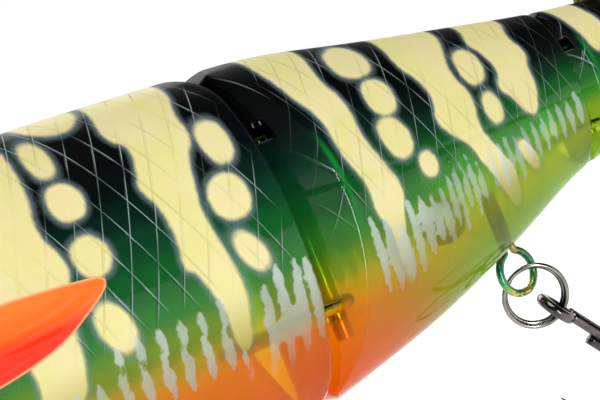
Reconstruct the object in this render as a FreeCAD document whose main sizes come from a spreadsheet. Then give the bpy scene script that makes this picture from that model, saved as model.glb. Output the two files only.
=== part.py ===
import FreeCAD, Part
import math
import os

import Sketcher

# Jointed swimbait, 26 cm from nose to tail tip, in three hard hollow segments and a soft tail.
# Frame: origin at the centre of the line-tie eye, +X towards the tail, +Z towards the back.
# All lengths are millimetres and all angles are degrees.

Vector = FreeCAD.Vector
Rotation = FreeCAD.Rotation
Placement = FreeCAD.Placement

SIZES = {
    # overall
    "nose_x": 3.0,
    "tail_tip_x": 263.0,
    "wall": 1.8,
    "fit_gap": 0.05,
    "bore_gap": 0.02,
    "joint_gap": 0.5,
    "beyond": 40.0,
    # where each hollow ends
    "front_cavity_start": 20.0,
    "rear_cavity_end": 222.0,
    "end_wall": 2.0,
    # front joint
    "front_rim_x": 128.0,
    "front_nose_r": 8.0,
    "front_wire_r": 0.8,
    "front_eye_r": 2.0,
    "front_pin_r": 1.14,
    "front_slot_half": 1.2,
    "front_upper_z": 10.8,
    "front_lower_z": -12.0,
    "front_pin_top": 15.0,
    "front_pin_bottom": -16.2,
    "front_legs": 7.5,
    "front_corner_r": 5.0,
    "middle_corner_r": 3.6,
    "middle_top_z": 20.2,
    "middle_bottom_z": -22.1,
    # rear joint
    "rear_rim_x": 183.6,
    "rear_nose_r": 4.0,
    "rear_wire_r": 0.6,
    "rear_eye_r": 1.4,
    "rear_pin_r": 0.75,
    "rear_slot_half": 0.9,
    "rear_upper_z": 7.2,
    "rear_lower_z": -4.6,
    "rear_pin_top": 10.0,
    "rear_pin_bottom": -7.0,
    "rear_legs": 6.5,
    "rear_corner_r": 2.2,
    "rear_top_z": 12.9,
    "rear_bottom_z": -9.2,
    # wire loops outside the shells
    "tie_r": 2.3,
    "tie_wire_r": 0.6,
    "tie_legs": 12.0,
    "leg_thinner": 0.05,
    "leg_spread": 1.25,
    "leg_start": 0.9,
    "hanger_r": 2.9,
    "hanger_wire_r": 0.55,
    "hanger_legs": 9.0,
    "front_hanger_x": 71.0,
    "front_hanger_z": -23.1,
    "rear_hanger_x": 165.8,
    "rear_hanger_z": -18.5,
    # split rings
    "ring_r": 4.1,
    "ring_wire": 0.64,
    "ring_width": 1.3,
    "ring_drop": 4.2,
    "ring_lean": 20.0,
    "ring_tilt": -36.0,
    # treble hooks
    "hook_wire_r": 0.75,
    "hook_eye_r": 2.25,
    "hook_offset": 3.5,
    "hook_lean": 39.0,
    "shank_length": 22.0,
    "bend_r": 4.6,
    "point_length": 11.0,
    "point_tip": 3.2,
    "third_arm_drop": 4.0,
    "third_arm_share": 1.36,
    # eyes of the fish
    "eye_x": 43.0,
    "eye_z": 2.6,
    "eye_r": 4.6,
    "iris_r": 4.4,
    "iris_y": 7.0,
    "iris_thickness": 0.4,
    "lens_height": 2.3,
    "eye_boss_r": 6.0,
    # weight in the throat
    "weight_r": 3.5,
    "weight_start": 49.0,
    "weight_end": 62.0,
    "weight_z": -9.9,
    # rattle chamber and its ball
    "chamber_x": 157.0,
    "chamber_z": -4.6,
    "chamber_r": 7.9,
    "chamber_wall": 1.1,
    "ball_r": 3.3,
    # ribs
    "rib": 1.4,
    "rail_z": -9.0,
    "rail_start": 80.0,
    "rail_inside": 6.5,
    "front_rib_0": 58.0,
    "front_rib_1": 86.0,
    "rib_window_top": 13.0,
    "rib_window_bottom": -5.0,
    "front_post_0_x": 76.0,
    "front_post_0_z": 13.0,
    "front_post_1_x": 108.0,
    "front_post_1_z": 14.0,
    "middle_post_x": 150.0,
    "middle_post_z": 9.0,
    "eye_boss_depth": 5.6,
    # soft fins
    "fin_half": 0.7,
    "tail_root_x": 228.0,
    "tail_root_half": 3.4,
    "tail_root_z": 1.8,
    "tail_pin_x": 230.8,
    "tail_pin_r": 0.7,
    "tail_spread": 17.0,
    "tail_fork": 11.0,
    "dorsal_x": 194.0,
    "dorsal_length": 16.0,
    "dorsal_height": 9.0,
    "dorsal_seat_z": 7.0,
    "dorsal_back_z": 12.2,
    "anal_x": 198.0,
    "anal_length": 15.0,
    "anal_height": 8.0,
    "anal_seat_z": -4.0,
    "anal_belly_z": -8.4,
}

# Body sections from nose to tail: distance behind the nose tip, half height, half width,
# and height of the section's middle above the line-tie eye.
STATIONS = (
    (0.0, 3.0, 2.4, -1.3),
    (2.5, 5.0, 4.2, -1.3),
    (9.0, 7.2, 6.2, -1.3),
    (22.0, 10.0, 8.2, -1.3),
    (40.0, 13.8, 9.6, -1.3),
    (60.0, 17.8, 10.7, -1.3),
    (78.0, 20.7, 11.4, -1.3),
    (95.0, 21.9, 11.75, -1.28),
    (110.0, 21.8, 11.8, -1.28),
    (125.0, 21.35, 11.75, -1.18),
    (134.0, 20.55, 11.2, -0.75),
    (146.0, 18.65, 9.8, -0.6),
    (158.0, 16.25, 8.4, -0.05),
    (169.0, 13.8, 7.0, 0.85),
    (180.6, 11.3, 5.6, 1.75),
    (192.0, 10.2, 5.1, 1.8),
    (208.0, 9.0, 4.3, 1.7),
    (220.0, 7.4, 3.5, 1.7),
    (231.0, 6.2, 2.8, 1.8),
)


def make_sheet(doc):
    """Write every driving dimension into the sheet, one alias to a cell."""
    sheet = doc.addObject("Spreadsheet::Sheet", "sizes")
    rows = list(SIZES.items())
    for number, station in enumerate(STATIONS):
        for word, value in zip(("place", "tall", "wide", "middle"), station):
            rows.append((f"section_{number}_{word}", value))
    for row, (alias, value) in enumerate(rows, start=1):
        sheet.set(f"A{row}", alias)
        sheet.set(f"B{row}", str(value))
        sheet.setAlias(f"B{row}", alias)
    doc.recompute()
    return sheet


def bind(item, **cells):
    """Bind properties to sheet expressions; two underscores stand for a dot in the path."""
    for path, expression in cells.items():
        item.setExpression(path.replace("__", "."), expression)
    return item


def named(text):
    """Put the sheet's name in front of each alias in an expression."""
    words = []
    word = ""
    for letter in text + " ":
        if letter.isalnum() or letter in "_.":
            word += letter
            continue
        known = word in SIZES or word.startswith("section_")
        words.append(("sizes." + word if known else word) + letter)
        word = ""
    return "".join(words).strip()


def place(item, x="0", y="0", z="0"):
    """Bind an object's position to three sheet expressions."""
    return bind(
        item,
        Placement__Base__x=named(x),
        Placement__Base__y=named(y),
        Placement__Base__z=named(z),
    )


def box(doc, name, x, y, z):
    """A box from three pairs of expressions, (low, high) along each axis."""
    item = doc.addObject("Part::Box", name)
    sides = [f"({named(high)}) - ({named(low)})" for low, high in (x, y, z)]
    bind(item, Length=sides[0], Width=sides[1], Height=sides[2])
    return place(item, x[0], y[0], z[0])


TURNS = {
    "X": Rotation(Vector(0, 1, 0), 90),
    "Y": Rotation(Vector(1, 0, 0), -90),
    "Z": Rotation(),
}


def rod(doc, name, axis, radius, start, length):
    """A cylinder that runs along +X, +Y or +Z from a start point."""
    item = doc.addObject("Part::Cylinder", name)
    item.Placement = Placement(Vector(), TURNS[axis])
    bind(item, Radius=named(radius), Height=named(length))
    return place(item, *start)


def ball(doc, name, radius, centre):
    """A full sphere."""
    item = doc.addObject("Part::Sphere", name)
    bind(item, Radius=named(radius))
    return place(item, *centre)


def join(doc, name, *shapes):
    """Fuse several shapes into one."""
    item = doc.addObject("Part::MultiFuse", name)
    item.Shapes = list(shapes)
    return item


def cut(doc, name, base, tool):
    """Take one shape away from another."""
    item = doc.addObject("Part::Cut", name)
    item.Base = base
    item.Tool = tool
    item.Refine = False
    return item


def carve(doc, name, base, tools):
    """Take several shapes away from one, each in a step of its own."""
    for number, tool in enumerate(tools):
        last = number == len(tools) - 1
        base = cut(doc, name if last else f"{name}_step_{number}", base, tool)
    return base


def common(doc, name, *shapes):
    """Keep what all the shapes share."""
    item = doc.addObject("Part::MultiCommon", name)
    item.Shapes = list(shapes)
    return item


def fillet(doc, name, base, radius, wanted):
    """Round the edges that the test picks, with a radius held in the sheet."""
    doc.recompute()
    item = doc.addObject("Part::Fillet", name)
    item.Base = base
    size = SIZES[radius]
    edges = enumerate(base.Shape.Edges, start=1)
    item.Edges = [(number, size, size) for number, edge in edges if wanted(edge)]
    return item


def fish_form(doc, name, inset):
    """The smooth fish shape through every section, drawn in by an inset from the surface."""
    rings = []
    for number in range(len(STATIONS)):
        ring = doc.addObject("Part::Ellipse", f"{name}_{number}")
        ring.Placement = Placement(Vector(), Rotation(Vector(0, 0, 1), Vector(0, -1, 0), Vector(1, 0, 0)))
        bind(
            ring,
            MajorRadius=named(f"section_{number}_tall - {inset}"),
            MinorRadius=named(f"section_{number}_wide - {inset}"),
        )
        place(ring, f"nose_x + section_{number}_place", "0", f"section_{number}_middle")
        rings.append(ring)
    form = doc.addObject("Part::Loft", name)
    form.Sections = rings
    form.Solid = True
    form.Ruled = False
    return form


def nose_plan(doc, name, rim, nose_r):
    """Plan outline of a segment's joint end: a round nose, 45 degree flanks, then full width."""
    axis = f"({rim} + joint_gap + {nose_r})"
    nose = rod(doc, name + "_nose", "Z", nose_r, (axis, "0", "-beyond"), "2 * beyond")
    flank = doc.addObject("Part::Wedge", name + "_flank")
    flank.Placement = Placement(Vector(), Rotation(Vector(0, 0, 1), -90))
    tangent = f"{nose_r} * cos(45)"
    bind(
        flank,
        Ymin="0",
        Ymax=named("beyond / 2"),
        Xmin=named(f"-({tangent})"),
        Xmax=named(tangent),
        X2min=named(f"-({tangent}) - beyond / 2"),
        X2max=named(f"{tangent} + beyond / 2"),
        Zmin=named("-beyond"),
        Zmax=named("beyond"),
        Z2min=named("-beyond"),
        Z2max=named("beyond"),
    )
    place(flank, f"{axis} - {tangent}", "0", "0")
    return join(doc, name, nose, flank)


def joint_slot(doc, name, rim, nose_r, eye_r, wire_r, half, height):
    """A flat pocket in the nose, wide enough for the wire eye to swing 35 degrees each way."""
    axis = f"({rim} + joint_gap + {nose_r})"
    reach = f"({eye_r} + {wire_r} + 0.3)"
    low = f"{height} - {half}"
    pocket = rod(doc, name + "_round", "Z", reach, (axis, "0", low), f"2 * {half}")
    parts = [pocket]
    for side in (-1, 0, 1):
        lane = doc.addObject("Part::Box", f"{name}_lane_{side + 1}")
        lane.Placement = Placement(Vector(), Rotation(Vector(0, 0, 1), 180 + 35 * side))
        bind(
            lane,
            Length=named(f"{nose_r} * 2"),
            Width=named(f"2 * {reach}"),
            Height=named(f"2 * {half}"),
        )
        sine = math.sin(math.radians(35 * side))
        cosine = math.cos(math.radians(35 * side))
        place(lane, f"{axis} - {sine:.6f} * {reach}", f"{cosine:.6f} * {reach}", low)
        parts.append(lane)
    return join(doc, name, *parts)


def half(doc, label, shell, side):
    """One moulded half of a shell: side -1 is the fish's left, +1 its right."""
    width = ("-beyond", "0") if side < 0 else ("0", "beyond")
    keep = box(doc, label + "_side", ("-beyond", "tail_tip_x"), width, ("-beyond", "beyond"))
    piece = common(doc, label, shell, keep)
    piece.Label = label
    return piece


def wire_eye(doc, label, rim, nose_r, eye_r, wire_r, legs, height):
    """A U of wire lying flat: it goes round the pin and both legs run forward into the shell."""
    body = doc.addObject("PartDesign::Body", label)
    body.Label = label
    planes = {item.Role: item for item in body.Origin.OriginFeatures}
    path = body.newObject("Sketcher::SketchObject", label + "_path")
    path.AttachmentSupport = [(planes["XY_Plane"], "")]
    path.MapMode = "FlatFace"
    axis_x = SIZES[rim] + SIZES["joint_gap"] + SIZES[nose_r]
    start_x = SIZES[rim] - SIZES[legs]
    radius = SIZES[eye_r]
    path.addGeometry(Part.LineSegment(Vector(start_x, -radius, 0), Vector(axis_x, -radius, 0)))
    circle = Part.Circle(Vector(axis_x, 0, 0), Vector(0, 0, 1), radius)
    path.addGeometry(Part.ArcOfCircle(circle, -math.pi / 2, math.pi / 2))
    path.addGeometry(Part.LineSegment(Vector(axis_x, radius, 0), Vector(start_x, radius, 0)))
    limits = (
        ("Tangent", (0, 2, 1, 1), None),
        ("Tangent", (1, 2, 2, 1), None),
        ("Horizontal", (0,), None),
        ("Horizontal", (2,), None),
        ("DistanceY", (-1, 1, 1, 3, 0.0), None),
        ("DistanceX", (-1, 1, 1, 3, axis_x), f"{rim} + joint_gap + {nose_r}"),
        ("DistanceX", (-1, 1, 0, 1, start_x), f"{rim} - {legs}"),
        ("DistanceX", (-1, 1, 2, 2, start_x), f"{rim} - {legs}"),
        ("Radius", (1, radius), eye_r),
    )
    add_limits(path, limits)
    section = body.newObject("Sketcher::SketchObject", label + "_section")
    section.AttachmentSupport = [(planes["YZ_Plane"], "")]
    section.MapMode = "FlatFace"
    bind(section, AttachmentOffset__Base__z=named(f"{rim} - {legs}"))
    section.addGeometry(Part.Circle(Vector(-radius, 0, 0), Vector(0, 0, 1), SIZES[wire_r]))
    limits = (
        ("DistanceX", (-1, 1, 0, 3, -radius), f"-{eye_r}"),
        ("DistanceY", (-1, 1, 0, 3, 0.0), None),
        ("Radius", (0, SIZES[wire_r]), wire_r),
    )
    add_limits(section, limits)
    doc.recompute()
    pipe = body.newObject("PartDesign::AdditivePipe", label + "_wire")
    pipe.Profile = section
    pipe.Spine = (path, [])
    return place(body, "0", "0", height)


def add_limits(sketch, limits):
    """Constrain a sketch; a limit with an expression follows the sheet."""
    for kind, values, expression in limits:
        number = sketch.addConstraint(Sketcher.Constraint(kind, *values))
        if expression:
            sketch.setExpression(f"Constraints[{number}]", named(expression))


def leg_seats(doc, name, rim, eye_r, wire_r, legs, height):
    """The two channels that grip a wire eye's legs."""
    seats = []
    for side in (-1, 1):
        start = (f"{rim} - {legs} - fit_gap", f"{side} * {eye_r}", height)
        radius = f"{wire_r} + fit_gap"
        seats.append(rod(doc, f"{name}_{side + 1}", "X", radius, start, f"{legs} + 1"))
    return seats


def leg_boss(doc, name, rim, eye_r, wire_r, legs, height):
    """The solid block behind a segment's rear wall that the eye's legs are bedded in."""
    width = f"{eye_r} + {wire_r} + 1.4"
    tall = f"({wire_r} + 1.4)"
    return box(
        doc,
        name,
        (f"{rim} - {legs} - 1.5", f"{rim} - 0.5"),
        (f"-({width})", width),
        (f"{height} - {tall}", f"{height} + {tall}"),
    )


def loop_legs(doc, name, leg_r, loop_r, wire_r, length, centre, direction):
    """The two legs of a wire loop, side by side, along +X or +Z from inside the loop's far edge."""
    across, along = (0, 2) if direction == "Z" else (2, 0)
    legs = []
    for side in (-1, 1):
        start = list(centre)
        start[across] = f"{centre[across]} + {side} * {wire_r} * leg_spread"
        start[along] = f"{centre[along]} + {loop_r} * leg_start"
        legs.append(rod(doc, f"{name}_{side + 1}", direction, leg_r, start, length))
    return legs


def loop_wire(doc, label, loop_r, wire_r, legs, centre, direction):
    """A closed wire loop in the XZ plane with two legs that run up or back into the shell."""
    ring = doc.addObject("Part::Torus", label + "_loop")
    ring.Placement = Placement(Vector(), Rotation(Vector(1, 0, 0), 90))
    bind(ring, Radius1=named(loop_r), Radius2=named(wire_r))
    place(ring, *centre)
    leg_r = f"{wire_r} - leg_thinner"
    pair = loop_legs(doc, label + "_leg", leg_r, loop_r, wire_r, legs, centre, direction)
    wire = join(doc, label, ring, *pair)
    wire.Label = label
    return wire


def loop_seat(doc, name, loop_r, wire_r, legs, centre, direction):
    """The pocket in the shells that holds a loop's two legs and, at a hanger, the loop's top."""
    run = f"{legs} + fit_gap"
    leg_r = f"{wire_r} + fit_gap"
    parts = loop_legs(doc, name + "_leg", leg_r, loop_r, wire_r, run, centre, direction)
    if direction == "Z":
        reach = f"({loop_r} + {wire_r} + fit_gap)"
        slot = box(
            doc,
            name + "_slot",
            (f"{centre[0]} - {reach}", f"{centre[0]} + {reach}"),
            (f"-{wire_r} - fit_gap", f"{wire_r} + fit_gap"),
            (f"{centre[2]} - {reach}", f"{centre[2]} + {reach}"),
        )
        parts.append(slot)
    return join(doc, name, *parts)


LOOPS = {
    "line_tie": ("tie_r", "tie_wire_r", "tie_legs", ("0", "0", "0"), "X"),
    "front_hook_hanger": (
        "hanger_r", "hanger_wire_r", "hanger_legs", ("front_hanger_x", "0", "front_hanger_z"), "Z"),
    "rear_hook_hanger": (
        "hanger_r", "hanger_wire_r", "hanger_legs", ("rear_hanger_x", "0", "rear_hanger_z"), "Z"),
}
FRONT_EYE = ("front_rim_x", "front_nose_r", "front_eye_r", "front_wire_r", "front_legs")
REAR_EYE = ("rear_rim_x", "rear_nose_r", "rear_eye_r", "rear_wire_r", "rear_legs")


def hanger_boss(doc, name, hanger):
    """The block above a hook hanger that its legs are bedded in."""
    return box(
        doc,
        name,
        (f"{hanger}_x - 3.2", f"{hanger}_x + 3.2"),
        ("-2.4", "2.4"),
        (f"{hanger}_z - 1", f"{hanger}_z + hanger_r + hanger_legs + 1"),
    )


def post(doc, name, x, z):
    """A round alignment post between the two halves."""
    return rod(doc, name, "Y", "rib", (x, "-beyond", z), "2 * beyond")


def frame_rib(doc, name, x):
    """A transverse rib, a plain wall before it is trimmed to the body."""
    return box(doc, name, (x, f"{x} + rib"), ("-beyond", "beyond"), ("-beyond", "beyond"))


def front_segment(doc, outer, inner):
    """Head and shoulders: a hollow shell in two halves with a flat rear wall."""
    block = box(
        doc,
        "front_block",
        ("0", "front_rim_x"),
        ("-beyond", "beyond"),
        ("section_9_middle - section_9_tall - 0.4", "section_9_middle + section_9_tall + 0.4"),
    )
    rounded = fillet(doc, "front_block_round", block, "front_corner_r", at_rear_corner)
    solid = common(doc, "front_solid", outer, rounded)
    cavity = box(
        doc,
        "front_cavity",
        ("front_cavity_start", "front_rim_x - end_wall"),
        ("-beyond", "beyond"),
        ("-beyond", "beyond"),
    )
    hollow = common(doc, "front_hollow", inner, cavity)
    ribs = [frame_rib(doc, name + "_wall", name) for name in ("front_rib_0", "front_rib_1")]
    window = box(
        doc,
        "front_rib_window",
        ("front_rib_0 - rib", "front_rib_1 + 2 * rib"),
        ("-rail_inside", "rail_inside"),
        ("rib_window_bottom", "rib_window_top"),
    )
    frames = cut(doc, "front_frames", join(doc, "front_ribs", *ribs), window)
    rail = box(
        doc,
        "front_rail",
        ("rail_start", "front_rim_x - end_wall"),
        ("-beyond", "beyond"),
        ("rail_z - rib / 2", "rail_z + rib / 2"),
    )
    rail_gap = box(
        doc,
        "front_rail_gap",
        ("rail_start - rib", "front_rim_x"),
        ("-rail_inside", "rail_inside"),
        ("rail_z - rib", "rail_z + rib"),
    )
    rails = cut(doc, "front_rails", rail, rail_gap)
    bosses = [frames, rails, hanger_boss(doc, "front_hanger_boss", "front_hanger")]
    for place_name, height in (("upper", "front_upper_z"), ("lower", "front_lower_z")):
        bosses.append(leg_boss(doc, f"front_leg_boss_{place_name}", *without_nose(FRONT_EYE), height))
    for word, start in (("left", "-beyond"), ("right", "eye_boss_depth")):
        centre = ("eye_x", start, "eye_z")
        bosses.append(rod(doc, f"eye_boss_{word}", "Y", "eye_boss_r", centre, "beyond - eye_boss_depth"))
    for name in ("front_post_0", "front_post_1"):
        bosses.append(post(doc, name, name + "_x", name + "_z"))
    space = carve(doc, "front_space", hollow, bosses)
    shell = cut(doc, "front_wall", solid, space)
    tools = [
        loop_seat(doc, "line_tie_seat", *LOOPS["line_tie"]),
        loop_seat(doc, "front_hanger_seat", *LOOPS["front_hook_hanger"]),
        weight_form(doc, "weight_seat", "fit_gap"),
        rod(doc, "eye_seat_left", "Y", "eye_r", ("eye_x", "-beyond", "eye_z"), "beyond - iris_y"),
        rod(doc, "eye_seat_right", "Y", "eye_r", ("eye_x", "iris_y", "eye_z"), "beyond"),
    ]
    for place_name, height in (("upper", "front_upper_z"), ("lower", "front_lower_z")):
        tools += leg_seats(doc, f"front_seat_{place_name}", *without_nose(FRONT_EYE), height)
    shell = carve(doc, "front_shell", shell, tools)
    return [half(doc, "front_shell_left", shell, -1), half(doc, "front_shell_right", shell, 1)]


def without_nose(eye):
    """The eye's sheet names without the nose radius."""
    rim, _, eye_r, wire_r, legs = eye
    return rim, eye_r, wire_r, legs


def at_rear_corner(edge):
    """The upper and lower edges across a block's rear end."""
    start, end = edge.Vertexes[0].Point, edge.Vertexes[1].Point
    across = abs(start.y - end.y) > 1
    return across and start.x > SIZES["beyond"]


def joint_block(doc, name, rim, top, bottom, radius, end):
    """Side outline of a segment with a rounded nose above and below."""
    block = box(
        doc,
        name,
        (f"{rim} + joint_gap", end),
        ("-beyond", "beyond"),
        (bottom, top),
    )
    front = SIZES[rim] + SIZES["joint_gap"]
    return fillet(
        doc,
        name + "_round",
        block,
        radius,
        lambda edge: edge.BoundBox.YLength > 1 and edge.BoundBox.XMax < front + 1,
    )


def middle_segment(doc, outer, inner):
    """The tapering middle: a wedge nose with two slots, the rattle chamber and the rear hanger."""
    plan = nose_plan(doc, "middle_plan", "front_rim_x", "front_nose_r")
    plan_tail = box(
        doc,
        "middle_plan_tail",
        ("front_rim_x + joint_gap + front_nose_r + beyond / 3", "rear_rim_x"),
        ("-beyond", "beyond"),
        ("-beyond", "beyond"),
    )
    side = joint_block(
        doc, "middle_block", "front_rim_x", "middle_top_z", "middle_bottom_z", "middle_corner_r", "rear_rim_x"
    )
    solid = common(doc, "middle_solid", outer, join(doc, "middle_outline", plan, plan_tail), side)
    cavity = box(
        doc,
        "middle_cavity",
        ("front_rim_x + joint_gap + front_nose_r + front_eye_r + front_wire_r + 2", "rear_rim_x - end_wall"),
        ("-beyond", "beyond"),
        ("-beyond", "beyond"),
    )
    hollow = common(doc, "middle_hollow", inner, cavity)
    centre = ("chamber_x", "-beyond", "chamber_z")
    chamber = rod(doc, "chamber_outside", "Y", "chamber_r", centre, "2 * beyond")
    bosses = [chamber, hanger_boss(doc, "rear_hanger_boss", "rear_hanger")]
    for place_name, height in (("upper", "rear_upper_z"), ("lower", "rear_lower_z")):
        bosses.append(leg_boss(doc, f"rear_leg_boss_{place_name}", *without_nose(REAR_EYE), height))
    bosses.append(post(doc, "middle_post", "middle_post_x", "middle_post_z"))
    space = carve(doc, "middle_space", hollow, bosses)
    shell = cut(doc, "middle_wall", solid, space)
    bore = "chamber_r - chamber_wall"
    bore_rod = rod(doc, "chamber_bore", "Y", bore, ("chamber_x", "-beyond", "chamber_z"), "2 * beyond")
    tools = [
        common(doc, "chamber_hollow", bore_rod, inner),
        loop_seat(doc, "rear_hanger_seat", *LOOPS["rear_hook_hanger"]),
        pin(doc, "front_pin_seat", "front", "bore_gap"),
    ]
    for place_name, height in (("upper", "rear_upper_z"), ("lower", "rear_lower_z")):
        tools += leg_seats(doc, f"rear_seat_{place_name}", *without_nose(REAR_EYE), height)
    for place_name, height in (("upper", "front_upper_z"), ("lower", "front_lower_z")):
        rim, nose_r, eye_r, wire_r, _ = FRONT_EYE
        slot = f"front_slot_{place_name}"
        tools.append(joint_slot(doc, slot, rim, nose_r, eye_r, wire_r, "front_slot_half", height))
    shell = carve(doc, "middle_shell", shell, tools)
    return [half(doc, "middle_shell_left", shell, -1), half(doc, "middle_shell_right", shell, 1)]


def rear_segment(doc, outer, inner):
    """The slim tail segment: a small wedge nose, fin slots on top and below, a slot for the tail."""
    plan = nose_plan(doc, "rear_plan", "rear_rim_x", "rear_nose_r")
    plan_tail = box(
        doc,
        "rear_plan_tail",
        ("rear_rim_x + joint_gap + rear_nose_r + beyond / 3", "nose_x + section_17_place"),
        ("-beyond", "beyond"),
        ("-beyond", "beyond"),
    )
    side = joint_block(
        doc, "rear_block", "rear_rim_x", "rear_top_z", "rear_bottom_z", "rear_corner_r",
        "nose_x + section_17_place",
    )
    solid = common(doc, "rear_solid", outer, join(doc, "rear_outline", plan, plan_tail), side)
    cavity = box(
        doc,
        "rear_cavity",
        ("rear_rim_x + joint_gap + rear_nose_r + rear_eye_r + rear_wire_r + 1.8", "rear_cavity_end"),
        ("-beyond", "beyond"),
        ("-beyond", "beyond"),
    )
    hollow = common(doc, "rear_hollow", inner, cavity)
    dorsal_boss = box(
        doc,
        "dorsal_boss",
        ("dorsal_x - 1.2", "dorsal_x + dorsal_length + 1.2"),
        ("-2", "2"),
        ("dorsal_seat_z - 1.2", "beyond"),
    )
    anal_boss = box(
        doc,
        "anal_boss",
        ("anal_x - 1.2", "anal_x + anal_length + 1.2"),
        ("-2", "2"),
        ("-beyond", "anal_seat_z + 1.2"),
    )
    space = carve(doc, "rear_space", hollow, [dorsal_boss, anal_boss])
    shell = cut(doc, "rear_wall", solid, space)
    slit = "fin_half + fit_gap"
    tail_pin_start = ("tail_pin_x", "-beyond", "tail_root_z")
    tools = [
        pin(doc, "rear_pin_seat", "rear", "bore_gap"),
        box(
            doc,
            "dorsal_slit",
            ("dorsal_x - fit_gap", "dorsal_x + dorsal_length + fit_gap"),
            (f"-({slit})", slit),
            ("dorsal_seat_z - fit_gap", "beyond"),
        ),
        box(
            doc,
            "anal_slit",
            ("anal_x - fit_gap", "anal_x + anal_length + fit_gap"),
            (f"-({slit})", slit),
            ("-beyond", "anal_seat_z + fit_gap"),
        ),
        box(
            doc,
            "tail_slit",
            ("tail_root_x - fit_gap", "tail_tip_x"),
            (f"-({slit})", slit),
            (
                "tail_root_z - tail_root_half - fit_gap",
                "tail_root_z + tail_root_half + fit_gap",
            ),
        ),
        rod(doc, "tail_pin_seat", "Y", "tail_pin_r + bore_gap", tail_pin_start, "2 * beyond"),
    ]
    for place_name, height in (("upper", "rear_upper_z"), ("lower", "rear_lower_z")):
        rim, nose_r, eye_r, wire_r, _ = REAR_EYE
        slot = f"rear_slot_{place_name}"
        tools.append(joint_slot(doc, slot, rim, nose_r, eye_r, wire_r, "rear_slot_half", height))
    shell = carve(doc, "rear_shell", shell, tools)
    return [half(doc, "rear_shell_left", shell, -1), half(doc, "rear_shell_right", shell, 1)]


def pin(doc, name, joint, gap):
    """The upright pin of a joint, or its bore when a gap is given."""
    axis = f"{joint}_rim_x + joint_gap + {joint}_nose_r"
    start = (axis, "0", f"{joint}_pin_bottom")
    length = f"{joint}_pin_top - {joint}_pin_bottom"
    return rod(doc, name, "Z", f"{joint}_pin_r + {gap}", start, length)


def weight_form(doc, name, gap):
    """The throat weight: a short bar with domed ends, or its seat when a gap is given."""
    radius = f"weight_r + {gap}"
    start = ("weight_start", "0", "weight_z")
    bar = rod(doc, name + "_bar", "X", radius, start, "weight_end - weight_start")
    domes = [
        ball(doc, name + "_dome_0", radius, start),
        ball(doc, name + "_dome_1", radius, ("weight_end", "0", "weight_z")),
    ]
    return join(doc, name, bar, *domes)


def fish_eye(doc, side):
    """A painted iris disc in a round seat under a clear domed lens."""
    word = "left" if side < 0 else "right"
    floor = "-iris_y - iris_thickness" if side < 0 else "iris_y"
    iris = rod(doc, f"eye_iris_{word}", "Y", "iris_r", ("eye_x", floor, "eye_z"), "iris_thickness")
    iris.Label = f"eye_iris_{word}"
    # The lens is a slice of a sphere; its flat back rests on the iris.
    sphere_r = "((iris_r ^ 2 + lens_height ^ 2) / (2 * lens_height))"
    centre = f"{side} * (iris_y + iris_thickness + lens_height - {sphere_r})"
    dome = ball(doc, f"eye_dome_{word}", sphere_r, ("eye_x", centre, "eye_z"))
    low = "-beyond" if side < 0 else "iris_y + iris_thickness"
    high = "-iris_y - iris_thickness" if side < 0 else "beyond"
    keep = box(doc, f"eye_keep_{word}", ("eye_x - 9", "eye_x + 9"), (low, high), ("eye_z - 9", "eye_z + 9"))
    lens = common(doc, f"eye_lens_{word}", dome, keep)
    lens.Label = f"eye_lens_{word}"
    return [iris, lens]


def ring_axes(joint):
    """Unit vectors of a split ring: along its hang, and its normal, tilted out of the XZ plane."""
    lean = math.radians(SIZES["ring_lean"])
    tilt = math.radians(SIZES["ring_tilt"])
    hang = Vector(math.sin(lean), 0, -math.cos(lean))
    level = Vector(math.cos(lean), 0, math.sin(lean))
    across = level * math.cos(tilt) + Vector(0, 1, 0) * math.sin(tilt)
    normal = hang.cross(across)
    if normal.y > 0:
        normal = normal * -1
    return hang, normal


def ring_centre(hanger):
    """Centre of the split ring that hangs in a hook hanger."""
    hang, _ = ring_axes(hanger)
    start = Vector(SIZES[f"{hanger}_hanger_x"], 0, SIZES[f"{hanger}_hanger_z"])
    return start + hang * SIZES["ring_drop"]


def split_ring(doc, hanger):
    """A split ring threaded through the hanger: two close coils of wire, drawn as one flat band."""
    _, normal = ring_axes(hanger)
    turn = Rotation(Vector(0, 0, 1), normal)
    spot = ring_centre(hanger) - normal * (SIZES["ring_width"] / 2)
    rims = []
    for word, offset in (("outside", "ring_wire / 2"), ("inside", "-ring_wire / 2")):
        rim = doc.addObject("Part::Cylinder", f"ring_{hanger}_{word}")
        bind(rim, Radius=named(f"ring_r + {offset}"), Height=named("ring_width"))
        rim.Placement = Placement(spot, turn)
        rims.append(rim)
    ring = cut(doc, f"split_ring_{hanger}", *rims)
    ring.Label = f"split_ring_{hanger}"
    return ring


def hook_frame(hanger):
    """Placement of a treble hook: local -Z runs down the shank from the eye's centre."""
    hang, normal = ring_axes(hanger)
    level = normal.cross(hang)
    if level.x < 0:
        level = level * -1
    swing = math.radians(SIZES["hook_lean"] - SIZES["ring_lean"])
    shank = hang * math.cos(swing) + level * math.sin(swing)
    eye = ring_centre(hanger) + shank * SIZES["hook_offset"]
    # The eye lies in the plane of the shank and the ring's normal.
    flat = normal.cross(shank)
    turn = Rotation(normal, flat, shank * -1, "ZXY")
    return Placement(eye, turn)


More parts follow.
